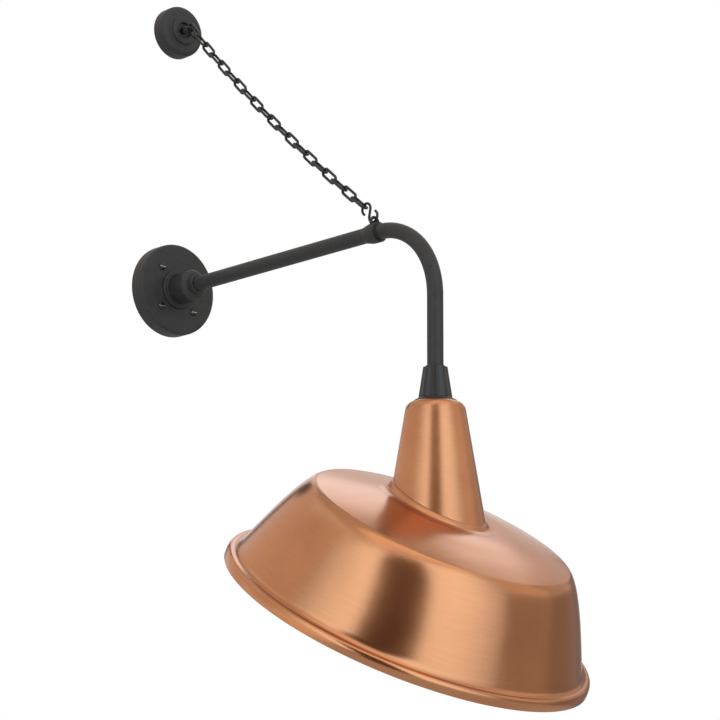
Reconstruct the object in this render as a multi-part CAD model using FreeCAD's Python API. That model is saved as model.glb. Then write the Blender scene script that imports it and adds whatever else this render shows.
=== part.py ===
import FreeCAD, Part
import math
import os

# Barn light on a bent pipe arm, held up by a chain, in millimetres.
# The wall is the plane Y = 0 and the light stands out along -Y, with +Z up.
# The origin is the centre of the large wall plate's back. The plane X = 0 is the symmetry plane.

# Clearances
fit_gap = 0.05        # radial gap of a shaft in its hole
seat_gap = 0.35       # between links that hang in each other, and in the eye
hook_gap = 0.8        # between the hook and what hangs in it
body_gap = 0.35       # end play of pieces that face each other
overrun = 1.0         # a cutter reaches this far past what it cuts

# Arm
pipe_od = 21.3        # half inch water pipe
pipe_wall = 2.6
arm_reach = 560.6     # wall to the axis of the hanging end
bend_r = 106.0        # centre line of the bend
drop_length = 216.0   # arm axis down to the pipe's lower end
cable_r = 3.3

# Large wall plate and the bar that it is screwed to
plate_r = 67.7
plate_depth = 23.3
plate_wall = 2.0
plate_edge_r = 4.0
screw_circle_d = 84.0
screw_count = 4
screw_r = 2.4
screw_head_r = 5.4
screw_head_h = 2.4
screw_chamfer = 1.0
screw_slot_w = 1.5
screw_slot_depth = 1.2
screw_sides = 12
bar_length = 104.0
bar_width = 70.0
bar_corner = 12.0
bar_t = 3.0
bar_hole_r = 16.0
post_across_flats = 10.0
box_screw_spacing = 88.9
box_screw_hole_r = 2.5

# Hub that holds the pipe on the plate
hub_ring_r = 29.2
hub_ring_h = 4.2
hub_ring_edge = 1.8
hub_body_r = 23.0
hub_shoulder_at = 64.0    # from the wall
hub_shoulder = 8.4
hub_nose_r = 14.3
hub_length = 72.0         # wall to the end of the nose
hub_nose_edge = 1.0
hub_spigot_r = 12.5
hub_spigot_length = 9.5   # behind the plate's face
hub_socket_depth = 32.0   # pipe held in the hub
wire_passage_r = 7.8
locknut_across_flats = 34.0
locknut_t = 5.0
set_screw_r = 2.5
set_screw_across_flats = 4.2

# Collar on the arm that takes the chain
collar_at = 430.5         # wall to the collar's wall-side end
collar_length = 25.0
collar_r = 14.0
collar_taper = 11.0
collar_lip = 0.8          # left of the wall at the tapered end
lug_at = 445.0            # wall to the lug's plane
lug_height = 15.5         # arm axis to the centre of the lug
lug_hole_r = 4.2
lug_wire_r = 2.2

# Small wall plate with its eye
chain_plate_height = 401.6
chain_plate_r = 38.7
chain_plate_depth = 22.6
chain_plate_edge = 8.0
boss_r = 21.5
boss_h = 3.6
boss_edge = 2.4
eye_wire_r = 2.3
eye_hole_r = 5.9
eye_reach = 32.2          # wall to the centre of the eye
eye_shank_r = 5.0
eye_dish_r = 12.0         # hollow in the boss that the eye stands in
eye_dish_at = 21.3        # wall to the hollow's floor
eye_stud_hole_r = 2.5
eye_stud_depth = 14.0
eye_nut_across_flats = 16.0
eye_nut_t = 5.0
eye_nut_recess_r = 11.0
eye_nut_recess_depth = 9.0

# Chain and hook
link_count = 20
link_wire_r = 2.0
link_inner_width = 6.6
chain_sag = 9.3
hook_wire_r = 1.8
hook_curl_r = 8.0         # centre line of each curl
hook_centres = 18.7       # between the centres of its curls
hook_curl_turn = 254.0    # degrees of each curl
wire_sides = 8
ring_turn_step = 30.0     # degrees between the facets round a link, an eye or a hook
cable_turn_step = 9.0     # degrees between the facets of the cable in the arm's bend

# Ribbed cup on the hanging end
cup_top_r = 15.7
cup_bottom_r = 22.0
cup_height = 41.6
cup_socket_depth = 14.6   # pipe inside the cup
cup_rib_count = 8
cup_rib_w = 3.0           # at the cup's lower end
cup_flute_depth = 2.4     # at the cup's lower end
cup_flute_bands = 4
cup_thread_depth = 12.0
washer_r = 28.8
washer_t = 4.8
washer_edge_t = 1.1
nipple_r = 6.5
nipple_bore_r = 3.9
neck_nut_across_flats = 22.0
neck_nut_t = 5.0

# Copper neck, an upright cone cut aslant
neck_top_r = 37.4
neck_corner = 12.0
neck_slope = 0.166        # radius gained per height
sheet_t = 1.2
neck_cut_drop = 370.9     # arm axis to the cut, on the cone's axis
neck_cut_lean = 2.5       # degrees of the cut past the bowl's tilt
neck_cut_depth = 90.0     # longest part of the cone below the middle of the cut
band_h = 16.0             # reaches into the bowl, where it is trimmed to fit
band_step_h = 3.0         # height of the band's steep upper part
band_step_bulge = 3.2
band_bulge = 5.6
band_lean = 4.0           # of the band's foot, towards the wall
band_t = 1.4

# Copper bowl, about its own tilted axis
bowl_tilt = 31.0          # degrees, the opening turned to the wall
bowl_seat_drop = 10.5     # middle of the neck's cut down to the bowl's crown
bowl_offset = 26.7        # of the bowl's axis from there, along the crown and away from the wall
bowl_rim_r = 246.8
bowl_lip_h = 14.05
bowl_lip_w = 12.9
bowl_lip_round = 11.0     # of the lip's side, given to its rounding
bowl_lip_top_round = 6.4  # of the lip's top, given to the same rounding
bowl_crease_round = 6.4   # of the lip's top, given to the hollow before the wall
bowl_crease_rise = 11.0   # of the wall, given to the same hollow
bowl_shoulder_r = 184.64
bowl_shoulder_h = 129.76
bowl_wall_round = 89.06   # of the wall, given to the curve up to the shoulder
bowl_top_round = 15.4     # of the top, given to the same curve
bowl_crown_r = 80.0
bowl_crown_h = 148.1
bowl_crown_round = 24.0   # either side of the crown's edge
bowl_hole_margin = 5.0    # of the hole inside the neck's outline
bowl_hole_reach = 48.0    # of the hole's cutter below the middle of the neck's cut
bowl_bands = 2            # steps that each rounding of the bowl is drawn in

# Lampholder and bulb
holder_drop = 287.0       # arm axis to the lampholder's top
holder_top_r = 15.0
holder_r = 21.0
holder_length = 54.0
holder_shoulder = 12.0
holder_bore_r = 15.6
holder_bore_depth = 38.0
shell_r = 13.6            # inside of the brass screw shell
shell_t = 0.6
shell_length = 28.0
contact_r = 4.0
contact_t = 1.6
cap_r = 13.15
cap_wall = 0.4
cap_length = 22.0
insulator_h = 3.4
insulator_r = 9.5
tip_r = 4.5
tip_h = 1.6
bulb_seat_gap = 0.4       # tip to contact with the bulb screwed home
glass_r = 30.0
glass_neck_r = 12.4
glass_neck_length = 13.0
glass_length = 84.0       # cap to the crown of the glass
glass_shoulder = 34.0     # crown to the widest part
glass_flare = 26.0        # of the neck's slope, given to the curve into the widest part
glass_flare_end = 8.7     # of the side, given to the same curve
glass_crown_share = 0.8   # of the radius, along the side, that the crown's curve takes
glass_t = 0.8

# Values that follow
pipe_r = pipe_od / 2
pipe_bore_r = pipe_r - pipe_wall
fit_r = pipe_r + fit_gap
plate_inner_face = plate_depth - plate_wall
pipe_start = hub_length - hub_socket_depth
spigot_end = plate_depth - hub_spigot_length
cup_top = drop_length - cup_socket_depth
cup_bottom = cup_top + cup_height
neck_top = cup_bottom + washer_t
holder_bottom = holder_drop + holder_length
holder_seat = holder_bottom - holder_bore_depth
up = FreeCAD.Vector(0, 0, 1)
down = FreeCAD.Vector(0, 0, -1)
outward = FreeCAD.Vector(0, -1, 0)
sideways = FreeCAD.Vector(1, 0, 0)
wall_centre = FreeCAD.Vector(0, 0, 0)
chain_plate_centre = up * chain_plate_height
drop_axis = outward * arm_reach
tilt = math.radians(bowl_tilt)
bowl_up = FreeCAD.Vector(0, -math.sin(tilt), math.cos(tilt))
bowl_low_side = FreeCAD.Vector(0, -math.cos(tilt), -math.sin(tilt))
crown_spot = drop_axis + down * (neck_cut_drop + bowl_seat_drop)
rim_centre = crown_spot + bowl_low_side * bowl_offset - bowl_up * bowl_crown_h
cut = math.radians(bowl_tilt + neck_cut_lean)
cut_down = FreeCAD.Vector(0, math.sin(cut), -math.cos(cut))
cut_low_side = FreeCAD.Vector(0, -math.cos(cut), -math.sin(cut))

os.makedirs("parts", exist_ok=True)


def save(shape, name):
    """Write one sub-part to its own file."""
    shape.exportStep(f"parts/{name}.step")
    print(name, "valid", shape.isValid(), "volume", round(shape.Volume))


# Shared shapes


def eased(corners):
    """Points of a closed outline of (radius, height) corners.

    A corner with three more values, (before, after, bands), is eased by that many chords of a
    curve that leaves the outline `before` ahead of the corner and meets it `after` past it."""
    points = []
    count = len(corners)
    for i, corner in enumerate(corners):
        here = FreeCAD.Vector(corner[0], corner[1], 0)
        if len(corner) == 2:
            points.append(here)
            continue
        before, after, bands = corner[2:]
        last, following = corners[i - 1], corners[(i + 1) % count]
        back = (FreeCAD.Vector(last[0], last[1], 0) - here).normalize()
        ahead = (FreeCAD.Vector(following[0], following[1], 0) - here).normalize()
        for k in range(bands + 1):
            t = k / bands
            points.append(here + back * (before * (1 - t) * (1 - t)) + ahead * (after * t * t))
    return points


def turned(corners, base, axis):
    """A solid of revolution about axis through base; heights run from base along axis."""
    points = [base + sideways * p.x + axis * p.y for p in eased(corners)]
    face = Part.Face(Part.makePolygon(points + points[:1]))
    return face.revolve(base, axis, 360)


def rod(radius, base, axis, length):
    """A plain cylinder from base along axis."""
    return Part.makeCylinder(radius, length, base, axis)


def bore(radius, base, axis, length):
    """The cutter of a hole from base along axis, which starts and ends past the surfaces."""
    return rod(radius, base - axis * overrun, axis, length + 2 * overrun)


def tube(outer_r, inner_r, base, axis, length):
    """A cylinder with a bore right through it."""
    return rod(outer_r, base, axis, length).cut(bore(inner_r, base, axis, length))


def prism(corner_r, sides, base, axis, corner, height, top_r):
    """A many-sided bar from base along axis, or a tapered one, with a corner towards `corner`."""
    rings = []
    for radius, shift in ((corner_r, 0), (top_r, height)):
        points = []
        for i in range(sides):
            turn = FreeCAD.Rotation(axis, 360 * i / sides)
            points.append(base + axis * shift + turn.multVec(corner) * radius)
        rings.append(Part.makePolygon(points + points[:1]))
    return Part.makeLoft(rings, True, True)


def hex_bar(across_flats, base, axis, corner, height):
    corner_r = across_flats / math.sqrt(3)
    return prism(corner_r, 6, base, axis, corner, height, corner_r)


def hex_nut(across_flats, height, hole_r, base, axis, corner):
    return hex_bar(across_flats, base, axis, corner, height).cut(bore(hole_r, base, axis, height))


def arc_points(centre, radius, first, second, start, turn, step):
    """Points of an arc about centre from `start` by `turn` degrees, counted from first to second."""
    steps = max(2, round(abs(turn) / step))
    points = []
    for i in range(steps + 1):
        angle = math.radians(start + turn * i / steps)
        points.append(centre + first * (radius * math.cos(angle)) + second * (radius * math.sin(angle)))
    return points


def bent_wire(points, radius, across, closed):
    """A round wire of flat facets along points in one plane; across is that plane's normal."""
    count = len(points)
    rings = []
    for i, here in enumerate(points):
        inner = closed or 0 < i < count - 1
        arriving = (here - points[i - 1]).normalize() if inner or i else None
        leaving = (points[(i + 1) % count] - here).normalize() if inner or not i else arriving
        arriving = arriving or leaving
        across_mitre = (arriving + leaving).normalize().cross(across)
        stretch = 1 / math.cos(arriving.getAngle(leaving) / 2)
        ring = []
        for k in range(wire_sides):
            angle = 2 * math.pi * (k + 0.5) / wire_sides
            along_mitre = across_mitre * (radius * math.cos(angle) * stretch)
            ring.append(here + along_mitre + across * (radius * math.sin(angle)))
        rings.append(ring)
    faces = []
    for i in range(count if closed else count - 1):
        near, far = rings[i], rings[(i + 1) % count]
        for k in range(wire_sides):
            nxt = (k + 1) % wire_sides
            corners = [near[k], near[nxt], far[nxt], far[k], near[k]]
            faces.append(Part.Face(Part.makePolygon(corners)))
    if not closed:
        for ring in (rings[0], rings[-1]):
            faces.append(Part.Face(Part.makePolygon(ring + ring[:1])))
    solid = Part.Solid(Part.makeShell(faces))
    if solid.Volume < 0:
        solid.reverse()
    return solid


def set_screw(start, axis, length):
    """A headless hexagonal-socket screw, drawn as a plain bar inside its hole."""
    return hex_bar(set_screw_across_flats, start, axis, up if axis.z == 0 else sideways, length)


# Wall plate, its bar and its screws


def screw_spots():
    """Where the plate screws' axes meet the wall."""
    spots = []
    reach = screw_circle_d / 2
    for i in range(screw_count):
        angle = math.radians(360 * (i + 0.5) / screw_count)
        spots.append(sideways * (reach * math.cos(angle)) + up * (reach * math.sin(angle)))
    return spots


def make_wall_plate():
    shell = turned(
        [
            (plate_r, 0),
            (plate_r, plate_depth, plate_edge_r, plate_edge_r, 2),
            (hub_spigot_r + fit_gap, plate_depth),
            (hub_spigot_r + fit_gap, plate_inner_face),
            (plate_r - plate_wall, plate_inner_face),
            (plate_r - plate_wall, 0),
        ],
        wall_centre,
        outward,
    )
    for spot in screw_spots():
        shell = shell.cut(bore(screw_r + fit_gap, spot + outward * plate_inner_face, outward, plate_wall))
    save(shell, "wall_plate")


def make_mounting_bar():
    half_l, half_w = bar_length / 2, bar_width / 2
    points = []
    for x, z in ((1, 1), (-1, 1), (-1, -1), (1, -1)):
        ends = [(half_l, half_w - bar_corner), (half_l - bar_corner, half_w)]
        if x * z < 0:
            ends.reverse()
        points += [FreeCAD.Vector(x * a, 0, z * b) for a, b in ends]
    bar = Part.Face(Part.makePolygon(points + points[:1])).extrude(outward * bar_t)
    bar = bar.cut(bore(bar_hole_r, wall_centre, outward, bar_t))
    for spot in screw_spots():
        post = hex_bar(post_across_flats, spot + outward * bar_t, outward, up, plate_inner_face - bar_t)
        bar = bar.fuse(post)
    for spot in screw_spots():
        bar = bar.cut(bore(screw_r + fit_gap, spot + outward * bar_t, outward, plate_inner_face - bar_t))
    for side in (-1, 1):
        spot = sideways * (side * box_screw_spacing / 2)
        bar = bar.cut(bore(box_screw_hole_r, spot, outward, bar_t))
    save(bar.removeSplitter(), "mounting_bar")


def make_plate_screws():
    rim_h = screw_head_h - screw_chamfer
    rim_r = screw_head_r - screw_chamfer
    for i, spot in enumerate(screw_spots()):
        seat = spot + outward * plate_depth
        shank_length = plate_depth - bar_t
        shank = prism(screw_r, screw_sides, seat - outward * shank_length, outward, up, shank_length, screw_r)
        rim = prism(screw_head_r, screw_sides, seat, outward, up, rim_h, screw_head_r)
        crown = prism(screw_head_r, screw_sides, seat + outward * rim_h, outward, up, screw_chamfer, rim_r)
        face = seat + outward * screw_head_h
        corner = face - sideways * screw_head_r - up * (screw_slot_w / 2)
        slot = Part.makeBox(2 * screw_head_r, screw_slot_depth, screw_slot_w, corner)
        save(shank.fuse([rim, crown]).removeSplitter().cut(slot), f"plate_screw_{i + 1}")


# Hub


def make_arm_hub():
    ring_face = plate_depth + hub_ring_h
    hub = turned(
        [
            (wire_passage_r, spigot_end),
            (hub_spigot_r, spigot_end),
            (hub_spigot_r, plate_depth),
            (hub_ring_r, plate_depth),
            (hub_ring_r, ring_face, hub_ring_edge, hub_ring_edge, 1),
            (hub_body_r, ring_face),
            (hub_body_r, hub_shoulder_at, hub_shoulder, hub_shoulder, 2),
            (hub_nose_r, hub_shoulder_at),
            (hub_nose_r, hub_length, hub_nose_edge, hub_nose_edge, 1),
            (fit_r, hub_length),
            (fit_r, pipe_start),
            (wire_passage_r, pipe_start),
        ],
        wall_centre,
        outward,
    )
    at = outward * ((ring_face + hub_shoulder_at - hub_shoulder) / 2)
    hub = hub.cut(bore(set_screw_r, at + sideways * pipe_r, sideways, hub_body_r - pipe_r))
    save(hub, "arm_hub")
    save(set_screw(at + sideways * (pipe_r + body_gap), sideways, hub_body_r - fit_r), "hub_set_screw")


def make_hub_locknut():
    base = outward * (plate_inner_face - locknut_t)
    save(hex_nut(locknut_across_flats, locknut_t, hub_spigot_r + fit_gap, base, outward, up), "hub_locknut")


# Arm and its cable


def arm_bar(radius, start, end):
    """A round bar along the arm's centre line, from start off the wall to end below the arm."""
    bend_start = outward * (arm_reach - bend_r)
    bend_centre = bend_start + down * bend_r
    bend_end = drop_axis + down * bend_r
    disc = Part.Face(Part.Wire(Part.makeCircle(radius, bend_start, outward)))
    bend = disc.revolve(bend_centre, sideways, 90)
    level = rod(radius, outward * start, outward, bend_start.Length - start)
    hanging = rod(radius, bend_end, down, end - bend_r)
    return level.fuse([bend, hanging])


def make_arm_pipe():
    pipe = arm_bar(pipe_r, pipe_start, drop_length)
    save(pipe.cut(arm_bar(pipe_bore_r, pipe_start - overrun, drop_length + overrun)), "arm_pipe")


def make_arm_cable():
    bend_centre = outward * (arm_reach - bend_r) + down * bend_r
    points = [outward * (spigot_end - locknut_t)]
    points += arc_points(bend_centre, bend_r, outward, up, 90, -90, cable_turn_step)
    points.append(drop_axis + down * (holder_drop + contact_t))
    save(bent_wire(points, cable_r, sideways, False), "arm_cable")


# Collar for the chain


def make_chain_collar():
    collar = turned(
        [
            (fit_r, collar_at),
            (fit_r + collar_lip, collar_at),
            (collar_r, collar_at + collar_taper),
            (collar_r, collar_at + collar_length),
            (fit_r, collar_at + collar_length),
        ],
        wall_centre,
        outward,
    )
    centre = outward * lug_at + up * lug_height
    path = arc_points(centre, lug_hole_r + lug_wire_r, sideways, up, 0, 360, ring_turn_step)
    lug = bent_wire(path[:-1], lug_wire_r, outward, True)
    collar = collar.fuse(lug).cut(bore(fit_r, outward * collar_at, outward, collar_length))
    at = outward * (collar_at + (collar_taper + collar_length) / 2)
    collar = collar.cut(bore(set_screw_r, at + sideways * pipe_r, sideways, collar_r - pipe_r))
    save(collar.removeSplitter(), "chain_collar")
    screw = set_screw(at + sideways * (pipe_r + body_gap), sideways, collar_r - fit_r)
    save(screw, "collar_set_screw")


# Small wall plate with its eye


def make_chain_plate():
    boss_face = chain_plate_depth + boss_h
    hole_r = eye_shank_r + fit_gap
    plate = turned(
        [
            (chain_plate_r, 0),
            (chain_plate_r, chain_plate_depth, chain_plate_edge, chain_plate_edge, 3),
            (boss_r, chain_plate_depth),
            (boss_r, boss_face, boss_edge, boss_edge, 1),
            (eye_dish_r, boss_face),
            (eye_dish_r, eye_dish_at),
            (hole_r, eye_dish_at),
            (hole_r, eye_nut_recess_depth),
            (eye_nut_recess_r, eye_nut_recess_depth),
            (eye_nut_recess_r, 0),
        ],
        chain_plate_centre,
        outward,
    )
    save(plate, "chain_plate")


def make_chain_eye():
    centre = chain_plate_centre + outward * eye_reach
    path = arc_points(centre, eye_hole_r + eye_wire_r, sideways, outward, 0, 360, ring_turn_step)
    ring = bent_wire(path[:-1], eye_wire_r, up, True)
    shank = rod(eye_shank_r, chain_plate_centre, outward, eye_reach - eye_hole_r - fit_gap)
    shank = shank.cut(bore(eye_stud_hole_r, chain_plate_centre, outward, eye_stud_depth))
    save(shank.fuse(ring), "chain_eye")
    base = chain_plate_centre + outward * (eye_nut_recess_depth - eye_nut_t)
    nut = hex_nut(eye_nut_across_flats, eye_nut_t, eye_shank_r + fit_gap, base, outward, up)
    save(nut, "eye_nut")


# Chain and hook


def pull_line():
    """The eye's outermost wire, the lug's topmost wire and the direction from one to the other."""
    eye = chain_plate_centre + outward * (eye_reach + eye_hole_r + eye_wire_r)
    lug = outward * lug_at + up * (lug_height + lug_hole_r + lug_wire_r)
    return eye, lug, (lug - eye).normalize()


def hook_curls():
    """The centres of the hook's two curls, pulled tight against the lug."""
    lug, pull = pull_line()[1:]
    lower = lug - pull * (hook_curl_r - hook_wire_r - lug_wire_r - hook_gap)
    return lower - pull * hook_centres, lower


def chain_contacts():
    """Where link meets link: even steps of the shallow arc from the eye to the hook."""
    eye, lug, pull = pull_line()
    first = eye - pull * (eye_wire_r + seat_gap)
    last = hook_curls()[0] - pull * (hook_curl_r - hook_wire_r - hook_gap)
    half_chord = (last - first).Length / 2
    arc_r = (half_chord * half_chord + chain_sag * chain_sag) / (2 * chain_sag)
    sag_dir = sideways.cross(pull)
    centre = (first + last) * 0.5 + sag_dir * (chain_sag - arc_r)
    half_angle = math.asin(half_chord / arc_r)
    points = []
    for i in range(link_count + 1):
        angle = half_angle * (2 * i / link_count - 1)
        points.append(centre + pull * (arc_r * math.sin(angle)) + sag_dir * (arc_r * math.cos(angle)))
    return points


def chain_link(start, end, width_dir):
    """One link between two contacts, its loop as wide as the gap and its wire along width_dir."""
    along = (end - start).normalize()
    end_r = link_inner_width / 2 + link_wire_r
    reach = (end - start).Length / 2 + seat_gap / 2 + link_wire_r - end_r
    centre = (start + end) * 0.5
    path = arc_points(centre + along * reach, end_r, width_dir, along, 0, 180, ring_turn_step)
    path += arc_points(centre - along * reach, end_r, width_dir, along, 180, 180, ring_turn_step)
    return bent_wire(path, link_wire_r, along.cross(width_dir), True)


def make_chain():
    contacts = chain_contacts()
    for i in range(link_count):
        along = (contacts[i + 1] - contacts[i]).normalize()
        width_dir = sideways if i % 2 else along.cross(sideways)
        save(chain_link(contacts[i], contacts[i + 1], width_dir), f"chain_link_{i + 1:02d}")


def make_hook():
    upper, lower = hook_curls()
    pull = pull_line()[2]
    above = pull.cross(sideways)
    lean = math.degrees(math.acos(2 * hook_curl_r / hook_centres))
    turn = hook_curl_turn
    path = arc_points(upper, hook_curl_r, pull, above, lean + turn, -turn, ring_turn_step)
    path += arc_points(lower, hook_curl_r, pull, above, lean + 180, turn, ring_turn_step)
    save(bent_wire(path, hook_wire_r, sideways, False), "s_hook")


# Ribbed cup, washer and threaded tube


def ribbed_outline(scale, drop):
    """The cup's ribbed section at a height: narrow ribs with a hollow flute between each two."""
    points = []
    rib_half = math.asin(cup_rib_w / 2 / cup_bottom_r)
    flute = 2 * math.pi / cup_rib_count - 2 * rib_half
    for i in range(cup_rib_count):
        rib_end = 2 * math.pi * i / cup_rib_count + rib_half
        for k in range(cup_flute_bands + 1):
            share = k / cup_flute_bands
            radius = cup_bottom_r - cup_flute_depth * math.sin(math.pi * share)
            angle = rib_end + flute * share
            across = sideways * math.cos(angle) - outward * math.sin(angle)
            points.append(drop_axis + down * drop + across * (radius * scale))
    return Part.makePolygon(points + points[:1])


def make_socket_cup():
    rings = [ribbed_outline(cup_top_r / cup_bottom_r, cup_top), ribbed_outline(1, cup_bottom)]
    cup = Part.makeLoft(rings, True, True)
    shoulder = drop_length + body_gap
    thread_end = cup_bottom - cup_thread_depth
    cup = cup.cut(bore(fit_r, drop_axis + down * cup_top, down, shoulder - cup_top - overrun))
    passage_start = shoulder - overrun
    passage = rod(wire_passage_r, drop_axis + down * passage_start, down, thread_end - passage_start)
    cup = cup.cut(passage)
    cup = cup.cut(bore(nipple_r + fit_gap, drop_axis + down * thread_end, down, cup_thread_depth))
    at = drop_axis + down * (cup_top + cup_socket_depth / 2)
    for i, side in enumerate((sideways, sideways * -1)):
        cup = cup.cut(bore(set_screw_r, at + side * pipe_r, side, cup_bottom_r - pipe_r))
        screw = set_screw(at + side * (pipe_r + body_gap), side, cup_top_r - pipe_r)
        save(screw, f"cup_set_screw_{i + 1}")
    save(cup, "socket_cup")


def make_neck_washer():
    hole_r = nipple_r + fit_gap
    washer = turned(
        [
            (hole_r, cup_bottom),
            (cup_bottom_r, cup_bottom),
            (washer_r, neck_top - washer_edge_t),
            (washer_r, neck_top),
            (hole_r, neck_top),
        ],
        drop_axis,
        down,
    )
    save(washer, "neck_washer")


def make_neck_nipple():
    start = cup_bottom - cup_thread_depth + body_gap
    length = holder_seat - start
    save(tube(nipple_r, nipple_bore_r, drop_axis + down * start, down, length), "neck_nipple")
    base = drop_axis + down * (neck_top + sheet_t)
    nut = hex_nut(neck_nut_across_flats, neck_nut_t, nipple_r + fit_gap, base, down, sideways)
    save(nut, "neck_locknut")


# Copper neck and its band


def neck_r_at(drop):
    """Outer radius of the neck's cone, drop below the arm's axis."""
    return neck_top_r + neck_slope * (drop - neck_top)


def neck_body(inset, bands, bottom):
    """The neck as a solid of revolution, inset by the sheet's thickness."""
    top = neck_top + inset
    ease = neck_corner - inset
    corners = [
        (0, top),
        (neck_r_at(top) - inset, top, ease, ease, bands),
        (neck_r_at(bottom) - inset, bottom),
        (0, bottom),
    ]
    return turned(corners, drop_axis, down)


def make_neck_cone():
    bottom = neck_cut_drop + neck_cut_depth
    cone = neck_body(0, 3, bottom).cut(neck_body(sheet_t, 2, bottom + overrun))
    size = 2 * neck_cut_depth
    below = Part.makeBox(2 * size, 2 * size, size, FreeCAD.Vector(-size, -size, 0))
    below.Placement = FreeCAD.Placement(drop_axis + down * neck_cut_drop, FreeCAD.Rotation(up, cut_down))
    cone = cone.cut(below)
    save(cone.cut(bore(nipple_r + fit_gap, drop_axis + down * neck_top, down, sheet_t)), "neck_cone")


def slant_oval(shift, grow, lean):
    """The oval of the neck's cone in a plane shift below the slanting cut, grown and moved to the wall."""
    drop = neck_cut_drop + shift / math.cos(cut)
    radius = neck_r_at(drop)
    low_reach = radius / (math.cos(cut) - neck_slope * math.sin(cut))
    high_reach = radius / (math.cos(cut) + neck_slope * math.sin(cut))
    half_long = (low_reach + high_reach) / 2
    narrowing = math.cos(cut) ** 2 - (neck_slope * math.sin(cut)) ** 2
    half_wide = math.sqrt(low_reach * high_reach * narrowing)
    centre = drop_axis + down * drop + cut_low_side * ((low_reach - high_reach) / 2 - lean)
    long_end = centre + cut_low_side * (half_long + grow)
    wide_end = centre + sideways * (half_wide + grow)
    return Part.Wire(Part.Ellipse(long_end, wide_end, centre).toShape())


def make_neck_band():
    edge = slant_oval(0, 0, 0)
    step = slant_oval(band_step_h, band_step_bulge, 0)
    foot = slant_oval(band_h, band_bulge, band_lean)
    band = Part.makeLoft([edge, step], True, True).fuse(Part.makeLoft([step, foot], True, True))
    inner_edge = slant_oval(-overrun, -sheet_t, 0)
    inner_foot = slant_oval(band_h + overrun, band_bulge - sheet_t - band_t, band_lean)
    hollow = Part.makeLoft([inner_edge, inner_foot], True, True)
    bowl = turned(bowl_profile(bowl_bands) + [(0, 0)], rim_centre + bowl_up * fit_gap, bowl_up)
    save(band.cut(hollow).cut(bowl), "neck_band")


# Bowl


def bowl_profile(bands):
    """The bowl's outside from the rim to its axis, with each rounding in `bands` steps."""
    crease_r = bowl_rim_r - bowl_lip_w
    return [
        (bowl_rim_r, 0),
        (bowl_rim_r, bowl_lip_h, bowl_lip_round, bowl_lip_top_round, bands),
        (crease_r, bowl_lip_h, bowl_crease_round, bowl_crease_rise, bands),
        (bowl_shoulder_r, bowl_shoulder_h, bowl_wall_round, bowl_top_round, 2 * bands),
        (bowl_crown_r, bowl_crown_h, bowl_crown_round, bowl_crown_round, bands),
        (0, bowl_crown_h),
    ]


def moved_in(corners, inset):
    """An outline moved inwards by inset, each corner along its mitre and each easing to suit."""
    moved = []
    for i, corner in enumerate(corners):
        here = FreeCAD.Vector(corner[0], corner[1], 0)
        normals = []
        for a, b in ((i - 1, i), (i, i + 1)):
            if 0 <= a and b < len(corners):
                run = FreeCAD.Vector(corners[b][0] - corners[a][0], corners[b][1] - corners[a][1], 0)
                normals.append(FreeCAD.Vector(-run.y, run.x, 0).normalize())
        mitre = (normals[0] + normals[-1]).normalize()
        spot = here + mitre * (inset / mitre.dot(normals[0]))
        shift = inset * math.tan(normals[0].getAngle(normals[-1]) / 2)
        if normals[0].cross(normals[-1]).z < 0:
            shift = -shift
        easing = (corner[2] - shift, corner[3] - shift, corner[4]) if len(corner) > 2 else ()
        moved.append((spot.x, spot.y) + easing)
    return moved


def make_shade_bowl():
    outside = bowl_profile(bowl_bands)
    inside = moved_in(outside, sheet_t)
    inside[0] = (inside[0][0], -overrun)
    skin = turned(outside + [(0, 0)], rim_centre, bowl_up)
    hollow = turned(inside + [(0, -overrun)], rim_centre, bowl_up)
    hole = [slant_oval(0, -bowl_hole_margin, 0), slant_oval(bowl_hole_reach, -bowl_hole_margin, 0)]
    save(skin.cut(hollow).cut(Part.makeLoft(hole, True, True)), "shade_bowl")


# Lampholder


def make_lampholder():
    hole_r = nipple_r + fit_gap
    body = turned(
        [
            (hole_r, holder_drop),
            (holder_top_r, holder_drop),
            (holder_r, holder_drop + holder_shoulder),
            (holder_r, holder_bottom),
            (holder_bore_r, holder_bottom),
            (holder_bore_r, holder_seat),
            (hole_r, holder_seat),
        ],
        drop_axis,
        down,
    )
    save(body, "lampholder_body")
    contact = rod(contact_r, drop_axis + down * holder_seat, down, contact_t)
    save(contact, "centre_contact")
    shell_start = drop_axis + down * (holder_bottom - shell_length)
    save(tube(holder_bore_r, shell_r, shell_start, down, shell_length), "screw_shell")


# Bulb, screwed home


def make_bulb():
    tip_top = holder_seat + contact_t + bulb_seat_gap
    insulator_top = tip_top + tip_h
    cap_top = insulator_top + insulator_h
    cap_bottom = cap_top + cap_length
    save(rod(tip_r, drop_axis + down * tip_top, down, tip_h), "bulb_contact")
    insulator = turned(
        [
            (0, insulator_top),
            (tip_r, insulator_top),
            (insulator_r, cap_top),
            (0, cap_top),
        ],
        drop_axis,
        down,
    )
    save(insulator, "bulb_insulator")
    cap = turned(
        [
            (0, cap_top),
            (insulator_r, cap_top),
            (cap_r, cap_top + cap_r - insulator_r),
            (cap_r, cap_bottom),
            (cap_r - cap_wall, cap_bottom),
            (cap_r - cap_wall, cap_top + cap_r - insulator_r),
            (insulator_r, cap_top + cap_wall),
            (0, cap_top + cap_wall),
        ],
        drop_axis,
        down,
    )
    save(cap, "bulb_cap")
    crown = cap_bottom + glass_length
    widest = crown - glass_shoulder
    corners = [
        (0, cap_bottom),
        (glass_neck_r, cap_bottom),
        (glass_neck_r, cap_bottom + glass_neck_length),
        (glass_r, widest, glass_flare, glass_flare_end, 3),
        (glass_r, crown, glass_r * glass_crown_share, glass_r, 4),
        (0, crown),
    ]
    outside = turned(corners, drop_axis, down)
    inside = turned(moved_in(corners, glass_t), drop_axis, down)
    save(outside.cut(inside), "bulb_glass")


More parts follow.
